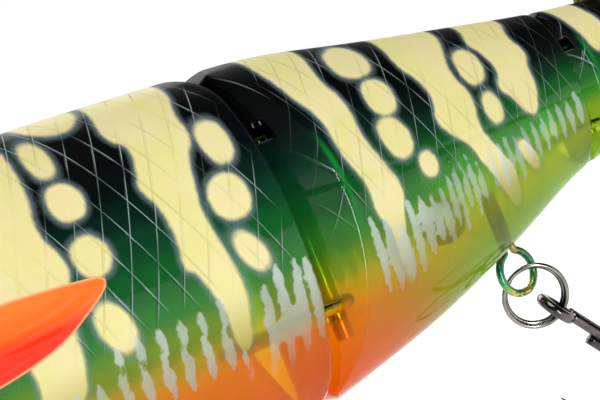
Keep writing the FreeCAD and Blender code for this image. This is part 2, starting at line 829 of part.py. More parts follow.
def hook_arm(doc, name, angle, start, inner_share):
    """One arm of the treble: a run beside the shank's axis, the round bend and the tapered point."""
    body = doc.addObject("PartDesign::Body", name)
    planes = {item.Role: item for item in body.Origin.OriginFeatures}
    path = body.newObject("Sketcher::SketchObject", name + "_path")
    path.AttachmentSupport = [(planes["XZ_Plane"], "")]
    path.MapMode = "FlatFace"
    inner = SIZES["hook_wire_r"] * inner_share
    bend = SIZES["bend_r"]
    low = -SIZES["shank_length"]
    tip = low + SIZES["point_length"]
    path.addGeometry(Part.LineSegment(Vector(inner, start, 0), Vector(inner, low, 0)))
    circle = Part.Circle(Vector(inner + bend, low, 0), Vector(0, 0, 1), bend)
    path.addGeometry(Part.ArcOfCircle(circle, math.pi, 2 * math.pi))
    path.addGeometry(Part.LineSegment(Vector(inner + 2 * bend, low, 0), Vector(inner + 2 * bend, tip, 0)))
    limits = (
        ("Vertical", (0,), None),
        ("Vertical", (2,), None),
        ("Tangent", (0, 2, 1, 1), None),
        ("Tangent", (1, 2, 2, 1), None),
        ("DistanceX", (-1, 1, 0, 1, inner), f"hook_wire_r * {inner_share}"),
        ("DistanceY", (-1, 1, 0, 1, start), None),
        ("DistanceY", (-1, 1, 1, 3, low), "-shank_length"),
        ("Radius", (1, bend), "bend_r"),
        ("DistanceY", (-1, 1, 2, 2, tip), "point_length - shank_length"),
    )
    add_limits(path, limits)
    section = body.newObject("Sketcher::SketchObject", name + "_section")
    section.AttachmentSupport = [(planes["XY_Plane"], "")]
    section.MapMode = "FlatFace"
    section.AttachmentOffset = Placement(Vector(0, 0, start), Rotation())
    section.addGeometry(Part.Circle(Vector(inner, 0, 0), Vector(0, 0, 1), SIZES["hook_wire_r"]))
    limits = (
        ("DistanceX", (-1, 1, 0, 3, inner), f"hook_wire_r * {inner_share}"),
        ("DistanceY", (-1, 1, 0, 3, 0.0), None),
        ("Radius", (0, SIZES["hook_wire_r"]), "hook_wire_r"),
    )
    add_limits(section, limits)
    doc.recompute()
    pipe = body.newObject("PartDesign::AdditivePipe", name + "_wire")
    pipe.Profile = section
    pipe.Spine = (path, [])
    body.Placement = Placement(Vector(), Rotation(Vector(0, 0, 1), angle))
    point = doc.addObject("Part::Cone", name + "_point")
    bind(point, Radius1=named("hook_wire_r"), Height=named("point_tip"))
    point.Radius2 = 0.05
    reach = inner + 2 * bend
    spot = Rotation(Vector(0, 0, 1), angle).multVec(Vector(reach, 0, 0))
    point.Placement = Placement(Vector(spot.x, spot.y, tip), Rotation())
    return [body, point]


def treble_hook(doc, hanger):
    """A treble: two arms of one wire that also forms the eye, and a third arm brazed on."""
    where = hook_frame(hanger)
    eye = doc.addObject("Part::Torus", f"hook_{hanger}_eye")
    eye.Placement = Placement(Vector(), Rotation(Vector(1, 0, 0), 90))
    bind(eye, Radius1=named("hook_eye_r"), Radius2=named("hook_wire_r"))
    start = -SIZES["hook_eye_r"]
    double = []
    for number, angle in enumerate((150, 30)):
        double += hook_arm(doc, f"hook_{hanger}_arm_{number}", angle, start, 1.0)
    pair = join(doc, f"treble_{hanger}_double", eye, *double)
    # The third arm lies in the groove between the other two and only just clears both.
    third_start = start - SIZES["third_arm_drop"]
    third = hook_arm(doc, f"hook_{hanger}_arm_2", 270, third_start, SIZES["third_arm_share"])
    keep = join(doc, f"treble_{hanger}_single", *third)
    # The two nodes keep the hook's own frame and are placed together.
    pieces = []
    for item, label in ((pair, f"treble_{hanger}_double"), (keep, f"treble_{hanger}_single")):
        item.Label = label
        item.Placement = where
        pieces.append(item)
    return pieces


def fin(doc, label, plane_points):
    """A flat soft fin: an outline in the XZ plane padded evenly to both sides."""
    body = doc.addObject("PartDesign::Body", label)
    body.Label = label
    planes = {item.Role: item for item in body.Origin.OriginFeatures}
    outline = body.newObject("Sketcher::SketchObject", label + "_outline")
    outline.AttachmentSupport = [(planes["XZ_Plane"], "")]
    outline.MapMode = "FlatFace"
    corners = [Vector(value_of(outline, x), value_of(outline, z), 0) for x, z in plane_points]
    count = len(corners)
    for number in range(count):
        start, end = corners[number], corners[(number + 1) % count]
        outline.addGeometry(Part.LineSegment(start, end))
    limits = []
    for number, (x, z) in enumerate(plane_points):
        limits.append(("Coincident", ((number - 1) % count, 2, number, 1), None))
        limits.append(("DistanceX", (-1, 1, number, 1, corners[number].x), x))
        limits.append(("DistanceY", (-1, 1, number, 1, corners[number].y), z))
    add_limits(outline, limits)
    doc.recompute()
    pad = body.newObject("PartDesign::Pad", label + "_pad")
    pad.Profile = outline
    pad.Midplane = True
    bind(pad, Length=named("2 * fin_half"))
    return body


def value_of(item, expression):
    """The number that a sheet expression stands for, to draw a sketch near its final shape."""
    return float(item.evalExpression(named(expression)))


def fins(doc):
    """The soft dorsal, anal and tail fins, each with a root tab that sits in its slit."""
    dorsal = fin(doc, "dorsal_fin", (
        ("dorsal_x", "dorsal_seat_z"),
        ("dorsal_x + dorsal_length", "dorsal_seat_z"),
        ("dorsal_x + dorsal_length", "dorsal_back_z - 0.6"),
        ("dorsal_x + dorsal_length + 2", "dorsal_back_z + 1.6"),
        ("dorsal_x + dorsal_length * 0.86", "dorsal_back_z + dorsal_height * 0.85"),
        ("dorsal_x + dorsal_length * 0.5", "dorsal_back_z + dorsal_height"),
        ("dorsal_x + dorsal_length * 0.16", "dorsal_back_z + dorsal_height * 0.6"),
        ("dorsal_x", "dorsal_back_z + 0.4"),
    ))
    anal = fin(doc, "anal_fin", (
        ("anal_x", "anal_seat_z"),
        ("anal_x", "anal_belly_z - 0.4"),
        ("anal_x + anal_length * 0.18", "anal_belly_z - anal_height * 0.6"),
        ("anal_x + anal_length * 0.52", "anal_belly_z - anal_height"),
        ("anal_x + anal_length * 0.88", "anal_belly_z - anal_height * 0.85"),
        ("anal_x + anal_length + 2", "anal_belly_z - 1.2"),
        ("anal_x + anal_length", "anal_belly_z + 0.8"),
        ("anal_x + anal_length", "anal_seat_z"),
    ))
    end = "nose_x + section_17_place"
    tail_panel = fin(doc, "tail_panel", (
        ("tail_root_x", "tail_root_z - tail_root_half"),
        (f"{end} + 0.5", "tail_root_z - tail_root_half"),
        (f"{end} + 8", "tail_root_z - tail_spread * 0.55"),
        ("tail_tip_x - 7", "tail_root_z - tail_spread * 0.93"),
        ("tail_tip_x", "tail_root_z - tail_spread"),
        ("tail_tip_x - 3", "tail_root_z - tail_spread * 0.55"),
        ("tail_tip_x - tail_fork", "tail_root_z"),
        ("tail_tip_x - 3", "tail_root_z + tail_spread * 0.55"),
        ("tail_tip_x", "tail_root_z + tail_spread"),
        ("tail_tip_x - 7", "tail_root_z + tail_spread * 0.93"),
        (f"{end} + 8", "tail_root_z + tail_spread * 0.55"),
        (f"{end} + 0.5", "tail_root_z + tail_root_half"),
        ("tail_root_x", "tail_root_z + tail_root_half"),
    ))
    start = ("tail_pin_x", "-beyond", "tail_root_z")
    hole = rod(doc, "tail_pin_hole", "Y", "tail_pin_r + bore_gap", start, "2 * beyond")
    tail = cut(doc, "tail_fin", tail_panel, hole)
    tail.Label = "tail_fin"
    return [dorsal, anal, tail]


def build():
    """Make every sub-part and return them in order."""
    doc = FreeCAD.newDocument("swimbait")
    make_sheet(doc)
    outer = fish_form(doc, "outer_form", "0")
    inner = fish_form(doc, "inner_form", "wall")
    nodes = front_segment(doc, outer, inner)
    nodes += middle_segment(doc, outer, inner)
    nodes += rear_segment(doc, outer, inner)
    for label, loop in LOOPS.items():
        nodes.append(loop_wire(doc, label, *loop))
    for joint, eye in (("front", FRONT_EYE), ("rear", REAR_EYE)):
        for level in ("upper", "lower"):
            nodes.append(wire_eye(doc, f"{joint}_joint_eye_{level}", *eye, f"{joint}_{level}_z"))
        hinge = pin(doc, f"{joint}_hinge_pin", joint, "0")
        hinge.Label = f"{joint}_hinge_pin"
        nodes.append(hinge)
    weight = weight_form(doc, "throat_weight", "0")
    weight.Label = "throat_weight"
    nodes.append(weight)
    rattle = ball(
        doc, "rattle_ball", "ball_r",
        ("chamber_x", "0", "chamber_z - chamber_r + chamber_wall + ball_r + 0.1"),
    )
    rattle.Label = "rattle_ball"
    nodes.append(rattle)
    for side in (-1, 1):
        nodes += fish_eye(doc, side)
    for hanger in ("front", "rear"):
        nodes.append(split_ring(doc, hanger))
        nodes += treble_hook(doc, hanger)
    nodes += fins(doc)
    start = ("tail_pin_x", "-section_17_wide - 0.1", "tail_root_z")
    tail_pin = rod(doc, "tail_pin", "Y", "tail_pin_r", start, "2 * section_17_wide + 0.2")
    tail_pin.Label = "tail_pin"
    nodes.append(tail_pin)
    doc.recompute()
    return doc, nodes


def check(doc, nodes):
    """Stop if any object failed or any sub-part has no valid solid."""
    for item in doc.Objects:
        if "Invalid" in item.State or "Error" in item.State:
            raise RuntimeError(f"{item.Name} failed: {item.State}")
    for item in nodes:
        shape = item.Shape
        if shape.isNull() or not shape.isValid() or not shape.Solids:
            raise RuntimeError(f"{item.Label} has no valid solid")


def write(nodes):
    """Export each sub-part to its own STEP file."""
    os.makedirs("parts", exist_ok=True)
    for item in nodes:
        item.Shape.exportStep(f"parts/{item.Label}.step")


document, sub_parts = build()
check(document, sub_parts)
write(sub_parts)
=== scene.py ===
import math

import bpy
import numpy as np
from mathutils import Matrix, Vector
from mathutils.bvhtree import BVHTree


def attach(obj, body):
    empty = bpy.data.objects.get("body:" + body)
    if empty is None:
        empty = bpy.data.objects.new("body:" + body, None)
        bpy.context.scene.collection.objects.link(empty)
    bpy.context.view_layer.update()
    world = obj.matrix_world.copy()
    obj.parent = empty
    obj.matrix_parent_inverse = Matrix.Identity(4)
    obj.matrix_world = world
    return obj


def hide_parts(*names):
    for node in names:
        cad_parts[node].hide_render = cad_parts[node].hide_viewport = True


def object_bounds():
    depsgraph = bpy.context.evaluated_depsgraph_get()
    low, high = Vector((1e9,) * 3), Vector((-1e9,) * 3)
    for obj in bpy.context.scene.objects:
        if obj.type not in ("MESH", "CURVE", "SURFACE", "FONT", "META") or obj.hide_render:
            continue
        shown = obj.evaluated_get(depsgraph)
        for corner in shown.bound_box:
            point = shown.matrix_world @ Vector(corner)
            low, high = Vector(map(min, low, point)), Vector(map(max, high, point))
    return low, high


# Jointed swimbait: paint, clear coat, wire fittings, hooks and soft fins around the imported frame.
# Lengths are millimetres in the part's frame until a mesh is made, when they become metres.

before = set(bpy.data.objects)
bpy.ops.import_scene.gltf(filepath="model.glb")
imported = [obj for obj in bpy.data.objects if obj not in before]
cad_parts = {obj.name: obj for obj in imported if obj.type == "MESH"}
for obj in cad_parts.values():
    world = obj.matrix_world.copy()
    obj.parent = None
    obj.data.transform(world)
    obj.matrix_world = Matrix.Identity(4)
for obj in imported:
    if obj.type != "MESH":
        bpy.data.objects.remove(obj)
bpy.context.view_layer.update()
MM = 0.001
scene = bpy.context.scene

# ---------------------------------------------------------------- the body's form

NOSE_X = 3.0
# distance behind the nose tip, half height, half width, height of the section's middle
STATIONS = np.array([
    (0.0, 3.0, 2.4, -1.3),
    (2.5, 5.0, 4.2, -1.3),
    (9.0, 7.2, 6.2, -1.3),
    (22.0, 10.0, 8.2, -1.3),
    (40.0, 13.8, 9.6, -1.3),
    (60.0, 17.8, 10.7, -1.3),
    (78.0, 20.7, 11.4, -1.3),
    (95.0, 21.9, 11.75, -1.28),
    (110.0, 21.8, 11.8, -1.28),
    (125.0, 21.35, 11.75, -1.18),
    (134.0, 20.55, 11.2, -0.75),
    (146.0, 18.65, 9.8, -0.6),
    (158.0, 16.25, 8.4, -0.05),
    (169.0, 13.8, 7.0, 0.85),
    (180.6, 11.3, 5.6, 1.75),
    (192.0, 10.2, 5.1, 1.8),
    (208.0, 9.0, 4.3, 1.7),
    (220.0, 7.4, 3.5, 1.7),
    (231.0, 6.2, 2.8, 1.8),
])
TAIL_END = NOSE_X + STATIONS[-1, 0]
# each joint: the rim ahead of it, the hinge's axis and the radius of the nose round the axis
FRONT_RIM, FRONT_AXIS, FRONT_NOSE_R = 128.0, 136.5, 8.0
REAR_RIM, REAR_AXIS, REAR_NOSE_R = 183.6, 188.1, 4.0
JOINT_GAP = 0.5
# where the skins of the middle and rear segments begin on the flank
MIDDLE_SKIN_X, REAR_SKIN_X = 132.0, 186.0


def spline_slopes(knots, values):
    """Slopes of the natural cubic spline through the knots."""
    step = np.diff(knots)
    rise = np.diff(values) / step
    count = len(knots)
    system = np.zeros((count, count))
    right = np.zeros(count)
    system[0, :2] = (2, 1)
    right[0] = 3 * rise[0]
    system[-1, -2:] = (1, 2)
    right[-1] = 3 * rise[-1]
    for i in range(1, count - 1):
        system[i, i - 1 : i + 2] = (step[i], 2 * (step[i] + step[i - 1]), step[i - 1])
        right[i] = 3 * (step[i] * rise[i - 1] + step[i - 1] * rise[i])
    return np.linalg.solve(system, right)


KNOTS = STATIONS[:, 0] + NOSE_X
SLOPES = [spline_slopes(KNOTS, STATIONS[:, k]) for k in (1, 2, 3)]


def hermite(knots, values, slopes, x):
    """The cubic spline's value at each x."""
    i = np.clip(np.searchsorted(knots, x) - 1, 0, len(knots) - 2)
    step = knots[i + 1] - knots[i]
    t = (x - knots[i]) / step
    ends = values[i] * (2 * t**3 - 3 * t**2 + 1) + values[i + 1] * (3 * t**2 - 2 * t**3)
    return ends + step * slopes[i] * (t**3 - 2 * t**2 + t) + step * slopes[i + 1] * (t**3 - t**2)


def section(x):
    """Half height, half width and middle height of the body at each x."""
    x = np.clip(np.asarray(x, float), KNOTS[0], KNOTS[-1])
    return [hermite(KNOTS, STATIONS[:, k + 1], slopes, x) for k, slopes in enumerate(SLOPES)]


def ease(low, high, value):
    """0 below low, 1 above high, smooth between."""
    t = np.clip((value - low) / (high - low), 0, 1)
    return t * t * (3 - 2 * t)


def corner(z, top, bottom, radius):
    """How far a rounded end stands back at height z, for an outline from bottom to top."""
    over = np.maximum(z - (top - radius), (bottom + radius) - z)
    over = np.clip(over, 0, radius)
    return radius - np.sqrt(radius**2 - over**2)


def round_nose(axis, radius, rim, top, bottom, corner_r):
    """Where a joint's nose begins: round, then 45 degree flanks, with rounded top and bottom."""

    def start(y, z):
        y = np.abs(y)
        tangent = radius * math.sin(math.pi / 4)
        circle = axis - np.sqrt(np.clip(radius**2 - y**2, 0, None))
        flank = axis - tangent + (y - tangent)
        plan = np.where(y < tangent, circle, flank)
        return np.maximum(plan, rim + JOINT_GAP + corner(z, top, bottom, corner_r))

    return start


def blunt_nose(y, z):
    """The snout: a small flat tip."""
    return np.full(np.broadcast(y, z).shape, NOSE_X)


SEGMENTS = {
    "front": {
        "start": blunt_nose,
        "end": lambda z: FRONT_RIM - corner(z, 20.57, -22.93, 5.0),
        "columns": 290, "nose_columns": 10, "rows": 150, "slots": (), "slot_half": 0, "slot_reach": 0,
        "roll": 0.10,
    },
    "middle": {
        "start": round_nose(FRONT_AXIS, FRONT_NOSE_R, FRONT_RIM, 20.2, -22.1, 3.6),
        "end": lambda z: np.full(np.shape(z), REAR_RIM),
        "columns": 130, "nose_columns": 34, "rows": 150, "slots": (10.8, -12.0), "slot_half": 1.2,
        "slot_reach": 7.4, "roll": 0.12,
    },
    "rear": {
        "start": round_nose(REAR_AXIS, REAR_NOSE_R, REAR_RIM, 12.9, -9.2, 2.2),
        "end": lambda z: np.full(np.shape(z), TAIL_END),
        "columns": 120, "nose_columns": 22, "rows": 90, "slots": (7.2, -4.6), "slot_half": 0.9,
        "slot_reach": 4.2, "roll": 0.2,
    },
}
EYE_X, EYE_Z, EYE_R = 43.0, 2.6, 4.6
# an eye socket is cut only this far out from the middle plane, and its rim stands clear of the eye
EYE_SIDE, EYE_CLEAR = 4, 0.08


def row_angles(part, x):
    """Angles from keel to back, evenly spaced round the section, with rows on the slots' edges."""
    h, w, m = (float(v) for v in section(x))
    fine = np.linspace(-math.pi / 2, math.pi / 2, 2001)
    speed = np.hypot(w * np.sin(fine), h * np.cos(fine))
    run = np.concatenate([[0], np.cumsum((speed[1:] + speed[:-1]) / 2)])
    even = np.interp(np.linspace(0, run[-1], part["rows"]), run, fine)
    for slot in part["slots"]:
        for side in (-1, 1):
            edge = math.asin((slot + side * part["slot_half"] - m) / h)
            even[np.argmin(np.abs(even - edge))] = edge
    return even


def sleeve(part, nose_x):
    """Grid of points from the left rear edge round the nose to the right rear edge."""
    angles = row_angles(part, nose_x)[:, None]
    cosine, sine = np.cos(angles), np.sin(angles)
    cosine[[0, -1]] = 0

    def side(x):
        h, w, m = section(x)
        return w * cosine, m + h * sine

    join_x = np.full(angles.shape, nose_x, float)
    for _ in range(40):
        y, z = side(join_x)
        join_x = join_x + 0.5 * (part["start"](y, z) - join_x)
    end_x = np.full(angles.shape, float(nose_x) + 40)
    for _ in range(6):
        end_x = part["end"](side(end_x)[1])
    share = np.linspace(0, 1, part["columns"])[None, :]
    x = end_x + (join_x - end_x) * share
    y, z = side(x)
    # the edge that rolls over the rear wall
    h, w, m = section(end_x)
    rolls = []
    for inset in (part["roll"], part["roll"] / 2):
        roll_z = m + (h * sine) * (1 - inset)
        rolls.append((part["end"](roll_z), w * cosine * (1 - inset), roll_z))
    share = np.linspace(1, 0, part["nose_columns"] + 1)[None, 1:]
    nose_y = y[:, -1:] * share
    nose_z = np.repeat(z[:, -1:], nose_y.shape[1], axis=1)
    nose = part["start"](nose_y, nose_z)
    x = np.hstack([rolls[0][0], rolls[1][0], x, nose])
    y = np.hstack([rolls[0][1], rolls[1][1], y, nose_y])
    z = np.hstack([rolls[0][2], rolls[1][2], z, nose_z])
    left = np.stack([x, -y, z], -1)
    right = np.stack([x, y, z], -1)[:, -2::-1]
    return np.concatenate([left, right], axis=1)


# ---------------------------------------------------------------- outlines painted on the sides


def rounded(points):
    """A closed outline with its corners cut smooth."""
    points = np.array(points, float)
    for _ in range(2):
        after = np.roll(points, -1, axis=0)
        points = np.stack([points * 0.75 + after * 0.25, points * 0.25 + after * 0.75], 1).reshape(-1, 2)
    return points


def outline_distance(outline, x, z):
    """Signed distance to a closed outline, positive inside."""
    best = np.full(x.shape, 1e9)
    inside = np.zeros(x.shape, bool)
    for start, end in zip(outline, np.roll(outline, -1, axis=0)):
        run = end - start
        length = max(run @ run, 1e-12)
        t = np.clip(((x - start[0]) * run[0] + (z - start[1]) * run[1]) / length, 0, 1)
        gap = np.hypot(x - start[0] - t * run[0], z - start[1] - t * run[1])
        best = np.minimum(best, gap)
        crosses = (start[1] > z) != (end[1] > z)
        slope = np.where(run[1] == 0, 1e-9, run[1])
        inside ^= crosses & (x < start[0] + run[0] * (z - start[1]) / slope)
    return np.where(inside, best, -best)


def blob_distance(spot, x, z):
    """Signed distance, roughly, to a soft-cornered oval spot."""
    cx, cz, rx, rz, turn = spot
    c, s = math.cos(math.radians(turn)), math.sin(math.radians(turn))
    across = (x - cx) * c + (z - cz) * s
    along = -(x - cx) * s + (z - cz) * c
    size = (np.abs(across / rx) ** 2.3 + np.abs(along / rz) ** 2.3) ** (1 / 2.3)
    return (1 - size) * min(rx, rz)


# Cream bars: the edge towards the nose from top to bottom, then the edge towards the tail.
BARS = [
    ([(48, 22), (47, 12), (49.5, 8), (48.5, 3)], [(55, 22), (53.5, 13), (54, 8.5), (51, 3)]),
    ([(68, 24), (67, 15), (69.5, 11), (67.5, 7), (69, 1), (68, -5)],
     [(78, 24), (76, 16), (77.5, 11), (74, 7), (75, 2), (72.5, -5)]),
    ([(92, 26), (91.5, 17), (90, 12), (92.4, 7), (91, 2), (93, -4), (92, -9)],
     [(101, 19), (100.5, 16.5), (100.2, 13), (98.8, 9), (100.3, 6), (100.2, 3.7), (99, 2.5), (98, -5),
      (97, -9)]),
    ([(113.6, 26), (113.3, 20), (111.8, 15.9), (114.1, 14.1), (112.8, 10.9), (111.9, 9.4), (113.3, 6.3),
      (113.3, 2.5), (112.5, -0.3), (113.9, -0.9), (115.2, -4.7), (115.5, -7.2), (115.8, -11)],
     [(123.4, 26), (123, 18.8), (121.1, 16.3), (121.3, 12.8), (119.1, 10.9), (118.3, 8.1), (117.4, 4.4),
      (117.8, 1.3), (118.5, -1.9), (118.8, -5), (118.3, -7.5), (117.7, -11)]),
    ([(134.6, 26), (134.9, 18), (136.1, 13.4), (138.2, 9.7), (138, 5.1), (140.1, 0.1), (139.5, -2.8),
      (140.9, -5.3), (141.3, -9.1), (141.6, -12.5)],
     [(143.6, 26), (142.8, 18), (141.3, 14.3), (142.8, 10.5), (142.4, 5.9), (143.4, 2.6), (145.3, -1.2),
      (144, -4.1), (143.2, -7), (143.2, -12.5)]),
    ([(155.6, 24), (155.1, 16.7), (154.25, 12.2), (156.1, 9.7), (156.3, 6.75), (154.7, 4.25), (156.5, 1.75),
      (158.8, -0.3), (160.1, -3.25), (161.75, -6.2), (164.25, -9.9)],
     [(165.4, 24), (164.9, 14.7), (163.4, 12.6), (161.1, 9.25), (163, 5.5), (161.3, 1.75), (163.4, -2),
      (165.9, -5.75), (165.7, -10.3)]),
    ([(170.2, 22), (169.7, 14.25), (167.6, 11.75), (168.8, 10.5), (169.9, 7.2), (167.8, 5.1), (169.7, 3.4),
      (170.7, 1.3), (172, 0.1)],
     [(177.9, 22), (177.4, 13.8), (175.1, 11.1), (176.5, 8), (175.1, 6.3), (175.1, 3.4), (174, 1.3),
      (173, 0.1)]),
    ([(185.8, 20), (186.5, 12.5), (188.5, 8), (189.5, 4.6)],
     [(191.3, 20), (191.5, 12), (194, 8), (191.5, 4.6)]),
    ([(201.5, 18), (202.3, 10), (203.6, 6), (204.4, 2.2)], [(206.6, 18), (206.8, 9), (207.6, 6), (206, 2.2)]),
    ([(214.5, 16), (215.2, 8), (216.8, 3.5)], [(219.2, 16), (219.6, 8), (218.8, 3.5)]),
]
# Cream spots: centre, half width, half height and turn in degrees.
SPOTS = [
    (30.5, 6.2, 1.5, 1.1, 20), (35.4, 8.8, 1.3, 1.7, 0), (58.6, 11.4, 1.7, 2.0, 0), (60.8, 5.4, 1.6, 1.8, 15),
    (59.2, -0.4, 1.3, 1.6, 0), (81.6, 15.6, 1.6, 2.1, 0), (84.2, 10.0, 1.9, 2.1, 0),
    (82.4, 4.6, 1.8, 2.3, 10), (85.2, -0.6, 1.5, 1.9, -10),
    (103.6, 16.1, 1.4, 2.1, 0), (103.6, 10.9, 2.0, 2.0, 0), (103.3, 4.7, 2.0, 2.2, 15),
    (102.7, -3.0, 1.8, 2.9, 20), (108.1, 21.2, 3.9, 2.9, 0), (123.4, 11.4, 1.8, 2.6, 0),
    (121.5, 5.2, 2.4, 2.6, 0), (121.3, -1.25, 1.5, 2.6, 28),
    (147.8, 14.9, 2.9, 2.3, 0), (148.4, 9.5, 2.3, 2.3, 0), (147.4, 4.25, 2.2, 2.7, 20),
    (150.7, -0.3, 1.5, 1.6, 0), (165.3, 9.0, 2.2, 2.4, 0), (165.4, 3.0, 1.6, 2.1, 0),
    (169.0, -4.3, 1.1, 2.7, 38), (196.5, 7.0, 1.5, 1.7, 0), (198.2, 3.0, 1.2, 1.4, 0),
    (210.8, 5.6, 1.3, 1.5, 0), (223.5, 5.0, 1.3, 1.8, 0),
]
PECTORAL = [(105.4, 2.3), (98.5, 3.3), (90, 4.0), (80, 3.6), (72, 1.4), (68.4, -1.4), (71, -3.6), (80, -4.5),
            (88.7, -3.9), (94, -3.1), (98, -1.9)]


# Merged leaves at the rear of the front segment: both ends and the half width.
MERGED_LEAVES = [
    (116.3, -11.0, 116.6, -14.3, 0.45), (121.2, -4.9, 119.8, -14.8, 0.80), (123.4, -3.8, 122.3, -14.7, 0.85),
    (125.8, -4.2, 124.7, -14.5, 0.85), (127.4, -4.5, 127.1, -13.6, 0.80), (120.4, -10.6, 127.6, -10.4, 1.70),
]
# Leaves of the middle segment: place, top, bottom and half width.
MIDDLE_LEAVES = [
    (138.4, -3.4, -12.0, 0.62), (140.5, -4.2, -12.6, 0.80), (142.6, -6.0, -12.2, 0.90),
    (145.0, -3.4, -11.8, 0.62), (147.1, -3.6, -10.6, 0.76), (149.1, -4.2, -9.4, 0.70),
    (151.0, -3.9, -10.3, 0.62), (152.7, -2.0, -8.7, 0.50), (154.2, -1.0, -9.6, 0.46),
    (155.6, -1.8, -7.8, 0.42), (157.1, -1.1, -8.8, 0.46), (158.6, -2.6, -7.8, 0.42),
    (161.3, -1.6, -6.4, 0.40), (163.5, -1.6, -7.2, 0.50), (165.2, -1.2, -5.6, 0.42),
    (166.9, -1.4, -7.1, 0.48), (169.1, -0.9, -5.4, 0.50), (171.2, -0.6, -5.6, 0.46),
    (173.3, -0.4, -4.9, 0.50), (175.3, -0.2, -4.6, 0.46), (177.4, 0.1, -4.2, 0.50),
    (179.5, 0.4, -4.2, 0.60), (181.7, 0.7, -3.8, 0.60),
]
# Places of the leaves in the two rows of the front segment.
UPPER_ROW = (101.8, 104.45, 107.1, 109.75, 112.4, 115.1)
LOWER_ROW = (74.9, 77.5, 80.2, 82.8, 85.5, 88.1, 90.8, 93.4, 96.1, 98.7, 101.4, 104.0, 106.7, 109.3, 112.0,
             114.6)


def leaf_rows():
    """Raised leaves low on the flank, painted pale as a painted reflection, as upright strokes: both ends and
    the half width.
    """
    leaves = [(x - 0.1, -4.8, x + 0.1, -7.6, 0.48) for x in UPPER_ROW]
    leaves += [(x - 0.1, -7.7, x + 0.1, -12.3, 0.66) for x in LOWER_ROW]
    leaves += MERGED_LEAVES
    leaves += [(x - 0.1, top, x + 0.2, low, half * 1.25) for x, top, low, half in MIDDLE_LEAVES]
    leaves.append((145.4, -5.6, 151.4, -6.2, 1.10))
    leaves += [(x, 0.6, x + 0.3, -2.4, 0.36) for x in np.arange(191.0, 228.0, 2.3)]
    return leaves


def stroke_distance(stroke, x, z):
    """Signed distance to a stroke that is thickest in the middle and pointed at its ends."""
    x0, z0, x1, z1, half = stroke
    run_x, run_z = x1 - x0, z1 - z0
    length = run_x**2 + run_z**2
    t = np.clip(((x - x0) * run_x + (z - z0) * run_z) / length, 0, 1)
    gap = np.hypot(x - x0 - t * run_x, z - z0 - t * run_z)
    return half * (0.25 + 0.75 * np.sin(math.pi * np.clip(t, 0.02, 0.98)) ** 0.7) - gap


def wander(x, z, scale, seed):
    """Smooth wandering value between about -1 and 1."""
    draw = np.random.default_rng(seed)
    total = np.zeros(np.shape(x))
    for octave in range(4):
        size = 2**octave / scale
        for _ in range(3):
            turn, phase = draw.uniform(0, 2 * math.pi, 2)
            total += np.sin((x * math.cos(turn) + z * math.sin(turn)) * size + phase) / 2**octave
    return total / 4


def girth(x, y, z):
    """Distance round the section from the widest line, positive upward, in millimetres."""
    h, w, m = section(x)
    angle = np.arctan2((z - m) / h, np.maximum(np.abs(y), 1e-6) / w)
    steps = np.linspace(0, 1, 13)
    total = np.zeros(np.shape(x))
    for low, high in zip(steps, steps[1:]):
        mid = angle * (low + high) / 2
        total += np.hypot(w * np.sin(mid), h * np.cos(mid)) * angle * (high - low)
    return total


def painted_fields(x, y, z):
    """Every paint field of the skin at the given points."""
    # the right side's pattern wanders a little away from the left's, but meets it on the back
    away = ease(1.0, 7.0, y)
    px = x + away * (0.9 * np.sin(z * 0.35 + x * 0.05) + 0.4)
    pz = z + away * 0.5 * np.sin(x * 0.3)
    wx = px + 0.16 * wander(x, z, 1.1, 3)
    wz = pz + 0.16 * wander(x, z, 1.1, 4)
    cream = np.full(x.shape, -3.0)
    for ahead, behind in BARS:
        near = (x > min(p[0] for p in ahead) - 8) & (x < max(p[0] for p in behind) + 8)
        if near.any():
            outline = rounded(ahead + behind[::-1])
            cream[near] = np.maximum(cream[near], outline_distance(outline, wx[near], wz[near]))
    for spot in SPOTS:
        near = np.abs(x - spot[0]) < 9
        if near.any():
            cream[near] = np.maximum(cream[near], blob_distance(spot, wx[near], wz[near]))
    leaf = np.full(x.shape, -3.0)
    for stroke in leaf_rows():
        near = np.abs(x - stroke[0]) < 5
        if near.any():
            leaf[near] = np.maximum(leaf[near], stroke_distance(stroke, px[near], pz[near]))
    pectoral = np.maximum(outline_distance(rounded(PECTORAL), px, pz), -3.0)
    return {"cream": np.clip(cream, -3, 3), "leaf": leaf, "pectoral": pectoral}


def tone_at(x, z):
    """Height on the flank as the paint sees it: the colours sink a little towards the tail."""
    reach = np.interp(x, [3, 40, 100, 128, 134, 150, 166, 184, 200, 234],
                      [0.42, 0.75, 1.0, 1.0, 1.0, 0.94, 0.84, 0.70, 0.62, 0.45])
    shift = np.interp(x, [3, 128, 134, 150, 176, 184, 234], [0, 0, 0.2, 0.6, 2.0, 2.6, 3.0])
    return (z - shift) / reach


def body_near(y, start):
    """1 on the flanks and 0 on the midline."""
    return ease(start, start + 2.0, np.abs(y))


def hump(off, width):
    """1 on a line and falling smoothly to 0 on both sides of it."""
    return np.exp(-((off / width) ** 2))


